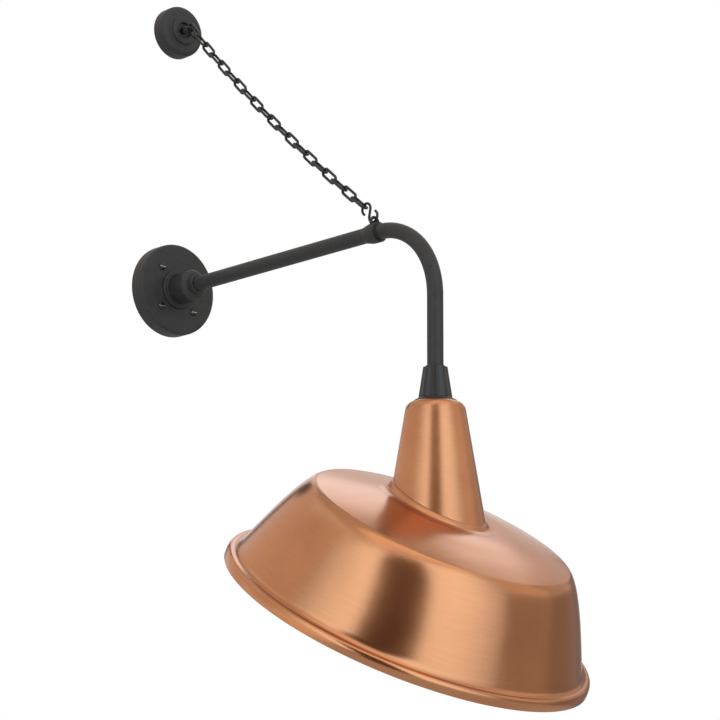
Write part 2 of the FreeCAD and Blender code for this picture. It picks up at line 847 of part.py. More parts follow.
make_wall_plate()
make_mounting_bar()
make_plate_screws()
make_arm_hub()
make_hub_locknut()
make_arm_pipe()
make_arm_cable()
make_chain_collar()
make_chain_plate()
make_chain_eye()
make_chain()
make_hook()
make_socket_cup()
make_neck_washer()
make_neck_nipple()
make_neck_cone()
make_neck_band()
make_shade_bowl()
make_lampholder()
make_bulb()
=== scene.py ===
import math

import bmesh
import bpy
from mathutils import Matrix, Vector


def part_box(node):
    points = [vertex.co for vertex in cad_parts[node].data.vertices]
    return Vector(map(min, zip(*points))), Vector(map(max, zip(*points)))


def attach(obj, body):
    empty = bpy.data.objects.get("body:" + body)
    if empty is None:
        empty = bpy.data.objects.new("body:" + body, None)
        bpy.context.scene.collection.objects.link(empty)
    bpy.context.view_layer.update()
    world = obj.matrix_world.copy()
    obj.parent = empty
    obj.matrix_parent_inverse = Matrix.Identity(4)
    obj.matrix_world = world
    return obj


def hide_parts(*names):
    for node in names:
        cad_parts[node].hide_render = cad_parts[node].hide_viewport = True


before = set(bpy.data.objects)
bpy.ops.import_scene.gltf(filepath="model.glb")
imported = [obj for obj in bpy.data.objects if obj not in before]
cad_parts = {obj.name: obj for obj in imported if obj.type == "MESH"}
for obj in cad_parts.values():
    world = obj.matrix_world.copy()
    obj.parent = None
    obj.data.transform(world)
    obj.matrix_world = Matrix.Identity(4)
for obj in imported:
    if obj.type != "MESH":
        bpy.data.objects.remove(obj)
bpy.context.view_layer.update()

# Sizes in metres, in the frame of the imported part

mm = 0.001
fit_gap = 0.05 * mm
merge_distance = 0.001 * mm
pole_r = 0.01 * mm             # a smaller ring of a turned piece is one point

# Angles past which an edge is drawn sharp
sharp_edge = math.radians(35)
spun_sharp = math.radians(40)
wire_sharp = math.radians(50)
chain_sharp = math.radians(60)

# Wall plates, hub and mounting bar
plate_low, plate_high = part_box("wall_plate")
plate_r = (plate_high.x - plate_low.x) / 2
plate_depth = -plate_low.y
plate_wall = 2.0 * mm
plate_edge = 4.0 * mm
plate_hole_r = 12.55 * mm
screw_circle_r = 42.0 * mm
screw_count = 4
screw_head_r = 5.4 * mm
screw_head_h = 2.4 * mm
screw_slot_w = 1.4 * mm
screw_slot_depth = 0.9 * mm
screw_shank_r = 2.4 * mm
bar_t = 3.0 * mm
hub_ring_r = 29.2 * mm
hub_ring_h = 4.2 * mm
hub_body_r = 23.0 * mm
hub_shoulder_at = 64.0 * mm
hub_shoulder = 8.4 * mm
hub_nose_r = 14.3 * mm
hub_length = 72.0 * mm
hub_spigot_r = 12.5 * mm
hub_spigot_end = 13.8 * mm
hub_passage_r = 7.8 * mm
pipe_start = 40.0 * mm
chain_plate_low, chain_plate_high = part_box("chain_plate")
chain_plate_r = (chain_plate_high.x - chain_plate_low.x) / 2
chain_plate_z = (chain_plate_high.z + chain_plate_low.z) / 2
chain_plate_depth = 22.6 * mm
chain_plate_edge = 8.0 * mm
boss_r = 21.5 * mm
boss_face = -chain_plate_low.y
boss_edge = 2.4 * mm
eye_dish_r = 12.0 * mm
eye_dish_at = 21.3 * mm
eye_shank_r = 5.0 * mm
eye_wire_r = 2.3 * mm
eye_hole_r = 5.9 * mm
eye_reach = 32.2 * mm
eye_nut_recess_r = 11.0 * mm
eye_nut_recess_depth = 9.0 * mm

# Arm, collar, chain and hook
pipe_r = 10.65 * mm
arm_reach = 560.6 * mm
bend_r = 106.0 * mm
pipe_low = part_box("arm_pipe")[0].z
cable_r = 3.3 * mm
collar_at = 430.5 * mm
collar_end = 455.5 * mm
collar_taper = 11.0 * mm
collar_r = 14.0 * mm
collar_lip_r = 11.5 * mm
lug_at = 445.0 * mm
lug_height = 15.5 * mm
lug_hole_r = 4.2 * mm
lug_wire_r = 2.2 * mm
seat_gap = 0.35 * mm
hook_gap = 0.8 * mm
link_count = 20
link_wire_r = 2.0 * mm
link_inner_width = 6.6 * mm
chain_sag = 9.3 * mm
hook_wire_r = 1.8 * mm
hook_curl_r = 8.0 * mm
hook_centres = 18.7 * mm
hook_curl_turn = 254.0

# Cup, washer and neck
cup_low, cup_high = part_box("socket_cup")
cup_top_r = 15.7 * mm
cup_bottom_r = 22.0 * mm
cup_ribs = 8
cup_rib_w = 3.0 * mm
cup_flute_depth = 2.4 * mm
cup_edge = 0.5 * mm
cup_seat_gap = 0.3 * mm        # between the pipe's end and the cup
flute_steps = 24
flute_fullness = 0.8           # the power that widens a flute's hollow
washer_r = 28.8 * mm
washer_edge = 1.1 * mm
neck_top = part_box("neck_washer")[0].z
neck_top_r = 37.4 * mm
neck_corner = 12.0 * mm
neck_slope = 0.166
sheet_t = 1.2 * mm
neck_cut_z = -370.9 * mm
neck_cut_tilt = math.radians(33.5)
nipple_r = 6.5 * mm
band_h = 16.0 * mm
band_step_h = 3.0 * mm
band_step_bulge = 3.2 * mm
band_bulge = 5.6 * mm
band_lean = 4.0 * mm
band_t = 1.4 * mm
band_grip = 0.3 * mm           # of the band's upper edge in the neck's wall
band_lip_h = 0.5 * mm
band_lip_bulge = 0.5 * mm
band_fillet = 11.0 * mm        # of the band's foot on the bowl
step_before = 0.6              # where the step's rounding starts, as a share of the way up to the lip
step_after = 0.25              # and where it ends, of the way down to the foot
foot_start = 0.35              # where the foot's rounding starts, of the way down from the step

# Bowl, about its own tilted axis
bowl_tilt = math.radians(31.0)
bowl_seat_drop = 10.5 * mm
bowl_offset = 26.7 * mm
bowl_rim_r = 246.8 * mm
bowl_lip_h = 14.05 * mm
bowl_lip_w = 12.9 * mm
bowl_lip_round = 11.0 * mm
bowl_lip_top_round = 6.4 * mm
bowl_crease_rise = 11.0 * mm
bowl_shoulder_r = 184.64 * mm
bowl_shoulder_h = 129.76 * mm
bowl_wall_round = 89.06 * mm
bowl_top_round = 15.4 * mm
bowl_crown_r = 80.0 * mm
bowl_crown_h = 148.1 * mm
bowl_hole_margin = 5.0 * mm
bowl_top_start_r = 124.0 * mm
crown_round = 24.0 * mm        # either side of the crown's edge
hole_search = 50.0 * mm        # above and below a guess at the hole's edge
settling = 0.8                 # share of an error that one round of that guess takes away
line_stretch = 3.0             # how many times its length a line may reach to meet the bowl

# Lampholder and bulb
holder_low, holder_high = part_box("lampholder_body")
holder_top_r = 15.0 * mm
holder_r = 21.0 * mm
holder_shoulder = 12.0 * mm
holder_bore_r = 15.6 * mm
holder_seat = 38.0 * mm
shell_r = 13.6 * mm
shell_t = 0.3 * mm
shell_swell = 0.5 * mm
cap_r = 13.15 * mm
cap_swell = 0.4 * mm
cap_lip_w = 0.5 * mm
cap_lip_h = 0.4 * mm
cap_low, cap_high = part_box("bulb_cap")
insulator_r = 9.5 * mm
glass_low, glass_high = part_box("bulb_glass")
glass_r = 30.0 * mm
glass_neck_r = 12.4 * mm
glass_neck_length = 13.0 * mm
glass_shoulder = 34.0 * mm
thread_pitch = 3.62 * mm
thread_steps = 60              # rows of points up a threaded wall
cap_wall_rows = 51             # of those, up to the cap's shoulder
cap_plain_rows = 4             # of those, below the thread

# Roundings of outlines: the length that each takes before and past its corner, or both lengths
plate_rim_round = 0.6 * mm
hub_ring_round = (2.6 * mm, 2.2 * mm)
hub_foot_round = (1.4 * mm, 2.2 * mm)
hub_nose_foot_round = (0.8 * mm, 1.2 * mm)
hub_nose_round = 1.6 * mm
boss_foot_round = 1.2 * mm
dish_rim_round = (1.6 * mm, 1.2 * mm)
dish_floor_round = 1.5 * mm
screw_rim_round = 0.3 * mm
screw_dome_round = (2.0 * mm, 4.6 * mm)
collar_lip_round = 0.3 * mm
collar_taper_round = 5.0 * mm
collar_end_round = 0.8 * mm
eye_shank_round = (1.5 * mm, 2.5 * mm)
washer_top_round = (1.0 * mm, 0.5 * mm)
washer_foot_round = 0.3 * mm
holder_top_round = 2.0 * mm
holder_shoulder_round = 4.0 * mm
holder_rim_round = 2.2 * mm
holder_mouth_round = 1.2 * mm
contact_round = 0.8 * mm
glass_bottom_round = (glass_r, 24.0 * mm)
glass_side_round = (8.7 * mm, 26.0 * mm)
glass_neck_round = 3.0 * mm

# Steps of the chain's curves
chain_arc_steps = 256
link_wire_sides = 12
link_end_steps = 7
link_end_share = 0.499         # of the width, just short of where both rounds of an end would meet

# Grain of turned metal and pebbles of a coat
grain_climb = -1.3             # lines up the height for each line out from the axis
grain_breaks = 5.0             # how often a line changes on its way round
streak_share = 0.28            # of the lines in the tone, beside the patches
cloud_share = 0.04             # of the pebbles' scale
grain_depth = 0.05 * mm
pebble_depth = 0.1 * mm
tone_span = {"From Min": 0.3, "From Max": 0.7}

# Directions and places that several pieces share
arm_root = Vector((0, 0, 0))
up = Vector((0, 0, 1))
down = Vector((0, 0, -1))
outward = Vector((0, -1, 0))
sideways = Vector((1, 0, 0))
chain_plate_centre = up * chain_plate_z
drop_axis = outward * arm_reach
bowl_up = Vector((0, -math.sin(bowl_tilt), math.cos(bowl_tilt)))
bowl_low_side = Vector((0, -math.cos(bowl_tilt), -math.sin(bowl_tilt)))
crown_spot = drop_axis + up * (neck_cut_z - bowl_seat_drop)
rim_centre = crown_spot + bowl_low_side * bowl_offset - bowl_up * bowl_crown_h
cut_low_side = Vector((0, -math.cos(neck_cut_tilt), -math.sin(neck_cut_tilt)))


# Meshes


def eased(corners, bands=10):
    """Points of an outline of (radius, height) corners.

    A corner with more values is rounded by a curve. One value is the length that it takes both before
    and past the corner, and of two values the first is the length before it and the second past it."""
    points = []
    for i, corner in enumerate(corners):
        here = Vector(corner[:2])
        if len(corner) == 2:
            points.append(here)
            continue
        before, after = corner[2], corner[-1]
        back = (Vector(corners[i - 1][:2]) - here).normalized()
        ahead = (Vector(corners[(i + 1) % len(corners)][:2]) - here).normalized()
        for k in range(bands + 1):
            t = k / bands
            points.append(here + back * (before * (1 - t) ** 2) + ahead * (after * t * t))
    return points


def put(name, data):
    """A new object of some data, in the scene."""
    made = bpy.data.objects.new(name, data)
    bpy.context.scene.collection.objects.link(made)
    return made


def finished(name, mesh, sharp=sharp_edge):
    """An object of a mesh whose faces point outwards, smooth but for its real edges."""
    work = bmesh.new()
    work.from_mesh(mesh)
    bmesh.ops.remove_doubles(work, verts=work.verts, dist=merge_distance)
    bmesh.ops.recalc_face_normals(work, faces=work.faces)
    work.to_mesh(mesh)
    work.free()
    mesh.shade_smooth()
    mesh.set_sharp_from_angle(angle=sharp)
    return put(name, mesh)


def baked(name, thing, sharp=sharp_edge):
    """The plain mesh of an object as its modifiers leave it, in place of the object."""
    bpy.context.view_layer.update()
    depsgraph = bpy.context.evaluated_depsgraph_get()
    mesh = bpy.data.meshes.new_from_object(thing.evaluated_get(depsgraph), depsgraph=depsgraph)
    bpy.data.objects.remove(thing)
    mesh.name = name
    return finished(name, mesh, sharp)


def joined(name, pieces):
    """Several pieces as one mesh."""
    work = bmesh.new()
    for piece in pieces:
        work.from_mesh(piece.data)
        bpy.data.objects.remove(piece)
    mesh = bpy.data.meshes.new(name)
    work.to_mesh(mesh)
    work.free()
    return finished(name, mesh)


def skin(name, rings, sharp=sharp_edge):
    """A closed shell through rings of points. Each ring follows the one before it, and the last joins the
    first. A ring of one point is a pole."""
    points, faces, starts = [], [], []
    for ring in rings:
        starts.append(len(points))
        points += ring
    for i, ring in enumerate(rings):
        after = rings[(i + 1) % len(rings)]
        a, b = starts[i], starts[(i + 1) % len(rings)]
        count = max(len(ring), len(after))
        if count == 1:
            continue
        for k in range(count):
            n = (k + 1) % count
            if len(ring) == 1:
                faces.append((a, b + n, b + k))
            elif len(after) == 1:
                faces.append((a + k, a + n, b))
            else:
                faces.append((a + k, a + n, b + n, b + k))
    mesh = bpy.data.meshes.new(name)
    mesh.from_pydata(points, [], faces)
    return finished(name, mesh, sharp)


def angles_round(steps):
    """Evenly spaced angles of one full turn."""
    return [2 * math.pi * k / steps for k in range(steps)]


def frame_across(axis):
    """Two directions square to an axis, with which angles round it are counted."""
    first = sideways if abs(axis.x) < 0.5 else up
    return first, axis.cross(first).normalized()


def lathe(name, corners, base, axis, steps=128, bands=10):
    """A closed outline of (radius, height) corners turned about an axis through base."""
    first, second = frame_across(axis)
    spokes = [first * math.cos(a) + second * math.sin(a) for a in angles_round(steps)]
    rings = []
    for radius, height in eased(corners, bands):
        middle = base + axis * height
        if radius < pole_r:
            rings.append([middle])
        else:
            rings.append([middle + spoke * radius for spoke in spokes])
    return skin(name, rings)


def arc_points(centre, radius, first, second, start, turn, step=5.0):
    """Points of an arc about centre, counted in degrees from first to second."""
    steps = max(2, round(abs(turn) / step))
    angles = [math.radians(start + turn * i / steps) for i in range(steps + 1)]
    return [centre + first * (radius * math.cos(a)) + second * (radius * math.sin(a)) for a in angles]


# Node trees

number = "NodeSocketFloat"
whole_number = "NodeSocketInt"
place = "NodeSocketVector"
shape = "NodeSocketGeometry"
finish = "NodeSocketMaterial"


def feed(tree, node, inputs):
    """Set a node's inputs, each to a plain value or to the socket or node that feeds it."""
    for key, value in inputs.items():
        if isinstance(value, bpy.types.Node):
            value = next(socket for socket in value.outputs if socket.enabled)
        if isinstance(value, bpy.types.NodeSocket):
            tree.links.new(value, node.inputs[key])
        else:
            node.inputs[key].default_value = value


def add(tree, kind, inputs=None, **settings):
    """One more node of a tree, with its settings and its inputs."""
    made = tree.nodes.new(kind)
    for key, value in settings.items():
        setattr(made, key, value)
    feed(tree, made, inputs or {})
    return made


def calc(tree, operation, first, second=0.0):
    """A math node of two sources or numbers."""
    return add(tree, "ShaderNodeMath", {0: first, 1: second}, operation=operation)


def times(tree, first, second):
    """The product of two sources or numbers."""
    return calc(tree, "MULTIPLY", first, second)


def new_tree(kind, name, inputs, outputs):
    """A tree of nodes with named inputs and outputs, the sockets of its inputs and its last node."""
    tree = bpy.data.node_groups.new(name, kind)
    for label, socket in inputs.items():
        tree.interface.new_socket(label, in_out="INPUT", socket_type=socket)
    for label, socket in outputs.items():
        tree.interface.new_socket(label, in_out="OUTPUT", socket_type=socket)
    return tree, add(tree, "NodeGroupInput").outputs, add(tree, "NodeGroupOutput")


# Geometry Nodes


def end_tree(tree, given, result, copies):
    """The end of a geometry tree: what it made, real and with its finish."""
    real = add(tree, "GeometryNodeRealizeInstances", {"Geometry": copies})
    painted = add(tree, "GeometryNodeSetMaterial", {"Geometry": real, "Material": given["Finish"]})
    feed(tree, result, {"Geometry": painted})
    return tree


def drawn_wire(tree, curve, radius, sides, caps):
    """Nodes that draw round wire along a curve."""
    section = add(tree, "GeometryNodeCurvePrimitiveCircle", {"Radius": radius, "Resolution": sides})
    drawn = {"Curve": curve, "Profile Curve": section, "Fill Caps": caps}
    return add(tree, "GeometryNodeCurveToMesh", drawn)


def wire_tree():
    """Round wire along a curve, with flat ends."""
    inputs = {"Geometry": shape, "Wire Radius": number, "Sides": whole_number, "Finish": finish}
    tree, given, result = new_tree("GeometryNodeTree", "round wire", inputs, {"Geometry": shape})
    drawn = drawn_wire(tree, given["Geometry"], given["Wire Radius"], given["Sides"], True)
    return end_tree(tree, given, result, drawn)


def link_shape(tree, given):
    """One long link of round wire, upright along Z."""
    width, length = given["Link Width"], given["Link Length"]
    loop = add(tree, "GeometryNodeCurvePrimitiveQuadrilateral", {"Width": width, "Height": length})
    ends = {"Curve": loop, "Radius": times(tree, width, link_end_share), "Count": link_end_steps}
    round_end = add(tree, "GeometryNodeFilletCurve", ends, mode="POLY")
    link = drawn_wire(tree, round_end, given["Wire Radius"], link_wire_sides, False)
    return add(tree, "GeometryNodeTransform", {"Geometry": link, "Rotation": (math.pi / 2, 0, 0)})


def chain_tree():
    """Links along an arc through three points, each turned a quarter from the last."""
    inputs = {"Geometry": shape, "Start": place, "Middle": place, "End": place, "Links": whole_number}
    inputs.update({"Link Length": number, "Link Width": number, "Wire Radius": number, "Finish": finish})
    tree, given, result = new_tree("GeometryNodeTree", "chain", inputs, {"Geometry": shape})
    through = {label: given[label] for label in ("Start", "Middle", "End")}
    arc = add(tree, "GeometryNodeCurveArc", {**through, "Resolution": chain_arc_steps}, mode="POINTS")
    halves = calc(tree, "ADD", times(tree, given["Links"], 2.0), 1.0)
    points = add(tree, "GeometryNodeCurveToPoints", {"Curve": arc, "Count": halves}, mode="COUNT")
    index = add(tree, "GeometryNodeInputIndex")
    between = calc(tree, "LESS_THAN", calc(tree, "MODULO", index, 2.0), 0.5)
    middles = add(
        tree, "GeometryNodeDeleteGeometry", {"Geometry": points, "Selection": between}, domain="POINT"
    )
    axes = {"Primary Axis": points.outputs["Tangent"], "Secondary Axis": (1, 0, 0)}
    along = add(tree, "FunctionNodeAxesToRotation", axes, primary_axis="Z", secondary_axis="X")
    every_second = calc(tree, "MODULO", calc(tree, "ADD", index, 1.0), 2.0)
    turn = times(tree, every_second, math.pi / 2)
    quarter = add(tree, "FunctionNodeAxisAngleToRotation", {"Angle": turn, "Axis": (0, 0, 1)})
    both = {"Rotation": along, "Rotate By": quarter}
    turned = add(tree, "FunctionNodeRotateRotation", both, rotation_space="LOCAL")
    copies = {"Points": middles, "Instance": link_shape(tree, given), "Rotation": turned}
    return end_tree(tree, given, result, add(tree, "GeometryNodeInstanceOnPoints", copies))


def repeat_tree(pattern):
    """A copy of the pattern object at every point of the starting mesh."""
    inputs = {"Geometry": shape, "Finish": finish}
    tree, given, result = new_tree("GeometryNodeTree", "repeated piece", inputs, {"Geometry": shape})
    piece = add(tree, "GeometryNodeObjectInfo", {"Object": pattern}).outputs["Geometry"]
    placed = add(tree, "GeometryNodeInstanceOnPoints", {"Points": given["Geometry"], "Instance": piece})
    return end_tree(tree, given, result, placed)


def grown(name, start, tree, sizes, material, sharp=sharp_edge):
    """The plain mesh that a tree makes from a starting object with the given sizes."""
    modifier = start.modifiers.new("shape", "NODES")
    modifier.node_group = tree
    for item in tree.interface.items_tree:
        if item.in_out == "INPUT" and item.name in sizes:
            modifier[item.identifier] = sizes[item.name]
        elif item.in_out == "INPUT" and item.name == "Finish":
            modifier[item.identifier] = material
    return baked(name, start, sharp)


def line_object(points, closed=False):
    """A curve through points, for a tree to build on."""
    curve = bpy.data.curves.new("line", "CURVE")
    curve.dimensions = "3D"
    spline = curve.splines.new("POLY")
    spline.points.add(len(points) - 1)
    for target, point in zip(spline.points, points):
        target.co = (*point, 1)
    spline.use_cyclic_u = closed
    return put("line", curve)


def spots_object(points):
    """Loose points, for a tree to put a piece at each."""
    mesh = bpy.data.meshes.new("spots")
    mesh.from_pydata(points, [], [])
    return put("spots", mesh)


def wire(name, points, radius, material, closed=False, sides=16):
    """Round wire through points."""
    sizes = {"Wire Radius": radius, "Sides": sides}
    return grown(name, line_object(points, closed), wires, sizes, material, wire_sharp)


# Materials


def grain_group():
    """Fine lines round a turned piece's axis, Z: their height, and a tone of them and of broad patches."""
    inputs = {"Vector": place, "Lines": number, "Patches": number}
    outputs = {"Height": number, "Tone": number}
    tree, given, result = new_tree("ShaderNodeTree", "spun grain", inputs, outputs)
    x, y, z = add(tree, "ShaderNodeSeparateXYZ", {0: given["Vector"]}).outputs
    radius = calc(tree, "SQRT", calc(tree, "ADD", times(tree, x, x), times(tree, y, y)))
    run = calc(tree, "ADD", radius, times(tree, z, grain_climb))
    ring = {
        "X": times(tree, calc(tree, "DIVIDE", x, radius), grain_breaks),
        "Y": times(tree, calc(tree, "DIVIDE", y, radius), grain_breaks),
        "Z": times(tree, run, given["Lines"]),
    }
    round_axis = add(tree, "ShaderNodeCombineXYZ", ring)
    fine = {"Vector": round_axis, "Scale": 1.0, "Detail": 3.0, "Roughness": 0.6}
    lines = add(tree, "ShaderNodeTexNoise", fine)
    broad = {"Vector": given["Vector"], "Scale": given["Patches"]}
    broad.update({"Detail": 3.0, "Roughness": 0.5, "Distortion": 0.4})
    clouds = times(tree, add(tree, "ShaderNodeTexNoise", broad), 1 - streak_share)
    streaks = times(tree, lines, streak_share)
    feed(tree, result, {"Height": lines, "Tone": calc(tree, "ADD", clouds, streaks)})
    return tree


def coat_group():
    """Fine pebbled coat: its height and a faint cloudiness."""
    inputs = {"Vector": place, "Pebbles": number}
    outputs = {"Height": number, "Tone": number}
    tree, given, result = new_tree("ShaderNodeTree", "pebbled coat", inputs, outputs)
    vector, pebbles = given["Vector"], given["Pebbles"]
    fine = {"Vector": vector, "Scale": pebbles, "Detail": 2.0, "Roughness": 0.55}
    broad = {"Vector": vector, "Scale": times(tree, pebbles, cloud_share), "Detail": 2.0}
    height = add(tree, "ShaderNodeTexNoise", fine)
    feed(tree, result, {"Height": height, "Tone": add(tree, "ShaderNodeTexNoise", broad)})
    return tree


def set_shader(material, inputs):
    """Set inputs of a material's Principled shader."""
    feed(material.node_tree, material.node_tree.nodes["Principled BSDF"], inputs)


def new_material(name, colour, metallic, roughness):
    """A material with one Principled shader, and the places of its surface."""
    material = bpy.data.materials.new(name)
    material.use_nodes = True
    material.diffuse_color = (*colour, 1)
    set_shader(material, {"Base Color": (*colour, 1), "Metallic": metallic, "Roughness": roughness})
    return material, add(material.node_tree, "ShaderNodeTexCoord").outputs["Object"]


def shaded(material, group, dark, light, rough, bump, depth):
    """Let a group's tone vary the colour and the roughness, and its height raise the surface."""
    tree = material.node_tree
    height, tone = group.outputs["Height"], group.outputs["Tone"]
    share = add(tree, "ShaderNodeMapRange", {"Value": tone, **tone_span})
    colours = {"Factor": share, "A": (*dark, 1), "B": (*light, 1)}
    mix = add(tree, "ShaderNodeMix", colours, data_type="RGBA")
    rough_span = {"Value": tone, **tone_span, "To Min": rough[0], "To Max": rough[1]}
    wear = add(tree, "ShaderNodeMapRange", rough_span)
    raised = add(tree, "ShaderNodeBump", {"Height": height, "Strength": bump, "Distance": depth})
    set_shader(material, {"Base Color": mix, "Roughness": wear, "Normal": raised})
    return material


def spun_metal(name, dark, light, rough, lines, patches, bump, centre, axis):
    """Metal with fine lines turned about an axis through centre."""
    material, places = new_material(name, light, 1.0, rough[0])
    tree = material.node_tree
    turn = axis.to_track_quat("Z", "Y").to_euler()
    axis_frame = {"Vector": places, "Location": centre, "Rotation": turn}
    about = add(tree, "ShaderNodeMapping", axis_frame, vector_type="TEXTURE")
    grain = add(tree, "ShaderNodeGroup", node_tree=spun_grain)
    feed(tree, grain, {"Vector": about, "Lines": lines, "Patches": patches})
    return shaded(material, grain, dark, light, rough, bump, grain_depth)


def coated(name, dark, light, rough, pebbles, bump, metallic=0.0):
    """A thin pebbled coat over metal, or a plain cast or moulded surface."""
    material, places = new_material(name, light, metallic, rough[0])
    tree = material.node_tree
    coat = add(tree, "ShaderNodeGroup", node_tree=pebbled_coat)
    feed(tree, coat, {"Vector": places, "Pebbles": pebbles})
    return shaded(material, coat, dark, light, rough, bump, pebble_depth)


def grey(level):
    """A colour with no hue."""
    return (level, level, level)


wires = wire_tree()
chains = chain_tree()
spun_grain = grain_group()
pebbled_coat = coat_group()

copper_dark = (0.435, 0.172, 0.073)
copper_light = (0.54, 0.238, 0.094)
bowl_copper = spun_metal(
    "bowl copper", copper_dark, copper_light,
    rough=(0.19, 0.25), lines=260.0, patches=9.0, bump=0.05, centre=rim_centre, axis=bowl_up,
)
neck_copper = spun_metal(
    "neck copper", copper_dark, copper_light,
    rough=(0.27, 0.33), lines=260.0, patches=14.0, bump=0.05, centre=drop_axis, axis=up,
)
lacquer = {"Specular Tint": (0.92, 0.72, 0.64, 1), "Coat Weight": 0.7, "Coat Roughness": 0.22}
set_shader(bowl_copper, lacquer)
set_shader(neck_copper, lacquer)
powder_coat = coated(
    "black powder coat", grey(0.017), grey(0.026), rough=(0.48, 0.58), pebbles=2200.0, bump=0.36
)
set_shader(powder_coat, {"Specular IOR Level": 0.42})
cup_coat = coated(
    "black cup coat", (0.0125, 0.012, 0.0115), (0.018, 0.0174, 0.0168),
    rough=(0.33, 0.39), pebbles=2200.0, bump=0.12,
)
set_shader(cup_coat, {"Specular IOR Level": 0.44})
chain_black = coated("black chain", grey(0.006), grey(0.01), rough=(0.38, 0.5), pebbles=1800.0, bump=0.15)
screw_black = coated(
    "blackened screw", grey(0.03), grey(0.06), rough=(0.28, 0.36), pebbles=1500.0, bump=0.1, metallic=1.0
)
zinc = coated(
    "zinc plate", (0.42, 0.43, 0.45), (0.62, 0.62, 0.63),
    rough=(0.28, 0.42), pebbles=600.0, bump=0.1, metallic=1.0,
)
porcelain = coated(
    "porcelain", (0.78, 0.77, 0.74), (0.86, 0.85, 0.82), rough=(0.22, 0.3), pebbles=300.0, bump=0.05
)
small_parts_grain = {"lines": 1500.0, "patches": 30.0, "bump": 0.1, "centre": drop_axis, "axis": up}
shell_brass = spun_metal(
    "drawn brass", (0.62, 0.42, 0.16), (0.78, 0.58, 0.27), rough=(0.24, 0.34), **small_parts_grain
)
cap_metal = spun_metal(
    "bulb cap", (0.6, 0.6, 0.62), (0.76, 0.76, 0.78), rough=(0.24, 0.34), **small_parts_grain
)
black_glass = coated(
    "black glass", (0.012, 0.012, 0.014), (0.02, 0.02, 0.022), rough=(0.12, 0.2), pebbles=500.0, bump=0.05
)
opal_glass = coated(
    "opal glass", (0.86, 0.86, 0.84), (0.92, 0.92, 0.9), rough=(0.3, 0.4), pebbles=200.0, bump=0.03
)
set_shader(opal_glass, {"Transmission Weight": 0.35})
cable_rubber = coated("cable sheath", grey(0.02), grey(0.035), rough=(0.5, 0.62), pebbles=900.0, bump=0.2)


def dress(piece, material, body, slot, *nodes):
    """Give a finished piece its material, the body it moves with and the nodes it stands for."""
    piece.data.materials.clear()
    piece.data.materials.append(material)
    for face in piece.data.polygons:
        face.material_index = 0
    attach(piece, body)
    if nodes:
        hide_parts(*nodes)
    return piece


# Wall plates, hub and screws


def make_wall_plate():
    """The large plate: a deep drawn cover, open at the wall, with a hole for the hub."""
    inner = plate_depth - plate_wall
    corners = [
        (plate_r, 0, plate_rim_round),
        (plate_r, plate_depth, plate_edge),
        (plate_hole_r, plate_depth),
        (plate_hole_r, inner),
        (plate_r - plate_wall, inner, plate_edge),
        (plate_r - plate_wall, 0),
    ]
    cover = lathe("wall_plate_shell", corners, arm_root, outward)
    dress(cover, powder_coat, "wall_arm", "black_coat", "wall_plate")


def make_hub():
    """The hub on the large plate: a thin ring, a body with a rounded shoulder and a narrow nose."""
    ring = plate_depth + hub_ring_h
    corners = [
        (hub_passage_r, hub_spigot_end),
        (hub_spigot_r, hub_spigot_end),
        (hub_spigot_r, plate_depth),
        (hub_ring_r, plate_depth),
        (hub_ring_r, ring, *hub_ring_round),
        (hub_body_r, ring, *hub_foot_round),
        (hub_body_r, hub_shoulder_at, hub_shoulder),
        (hub_nose_r, hub_shoulder_at, *hub_nose_foot_round),
        (hub_nose_r, hub_length, hub_nose_round),
        (pipe_r + fit_gap, hub_length),
        (pipe_r + fit_gap, pipe_start),
        (hub_passage_r, pipe_start),
    ]
    hub = lathe("arm_hub_turned", corners, arm_root, outward)
    dress(hub, powder_coat, "wall_arm", "black_coat", "arm_hub")


def make_chain_plate():
    """The small plate with its stepped boss, the dish round the eye and the recess for the eye's nut."""
    corners = [
        (chain_plate_r, 0, plate_rim_round),
        (chain_plate_r, chain_plate_depth, chain_plate_edge),
        (boss_r, chain_plate_depth, boss_foot_round),
        (boss_r, boss_face, boss_edge),
        (eye_dish_r, boss_face, *dish_rim_round),
        (eye_dish_r, eye_dish_at, dish_floor_round),
        (eye_shank_r + fit_gap, eye_dish_at),
        (eye_shank_r + fit_gap, eye_nut_recess_depth),
        (eye_nut_recess_r, eye_nut_recess_depth),
        (eye_nut_recess_r, 0),
    ]
    plate = lathe("chain_plate_cast", corners, chain_plate_centre, outward)
    dress(plate, powder_coat, "wall_arm", "black_coat", "chain_plate")


def screw_head():
    """One round slotted head with its shank, its seat at the origin and its face along -Y."""
    shank = plate_depth - bar_t
    corners = [
        (0, -shank),
        (screw_shank_r, -shank),
        (screw_shank_r, 0),
        (screw_head_r, 0, screw_rim_round),
        (screw_head_r, screw_head_h, *screw_dome_round),
        (0, screw_head_h),
    ]
    head = lathe("screw_pattern", corners, Vector(), outward, steps=48, bands=8)
    bpy.ops.mesh.primitive_cube_add(size=1, location=(0, -screw_head_h, 0))
    slot = bpy.context.object
    slot.scale = (3 * screw_head_r, 2 * screw_slot_depth, screw_slot_w)
    cutter = head.modifiers.new("slot", "BOOLEAN")
    cutter.operation = "DIFFERENCE"
    cutter.solver = "EXACT"
    cutter.object = slot
    cut = baked("screw_pattern", head)
    bpy.data.objects.remove(slot)
    return cut


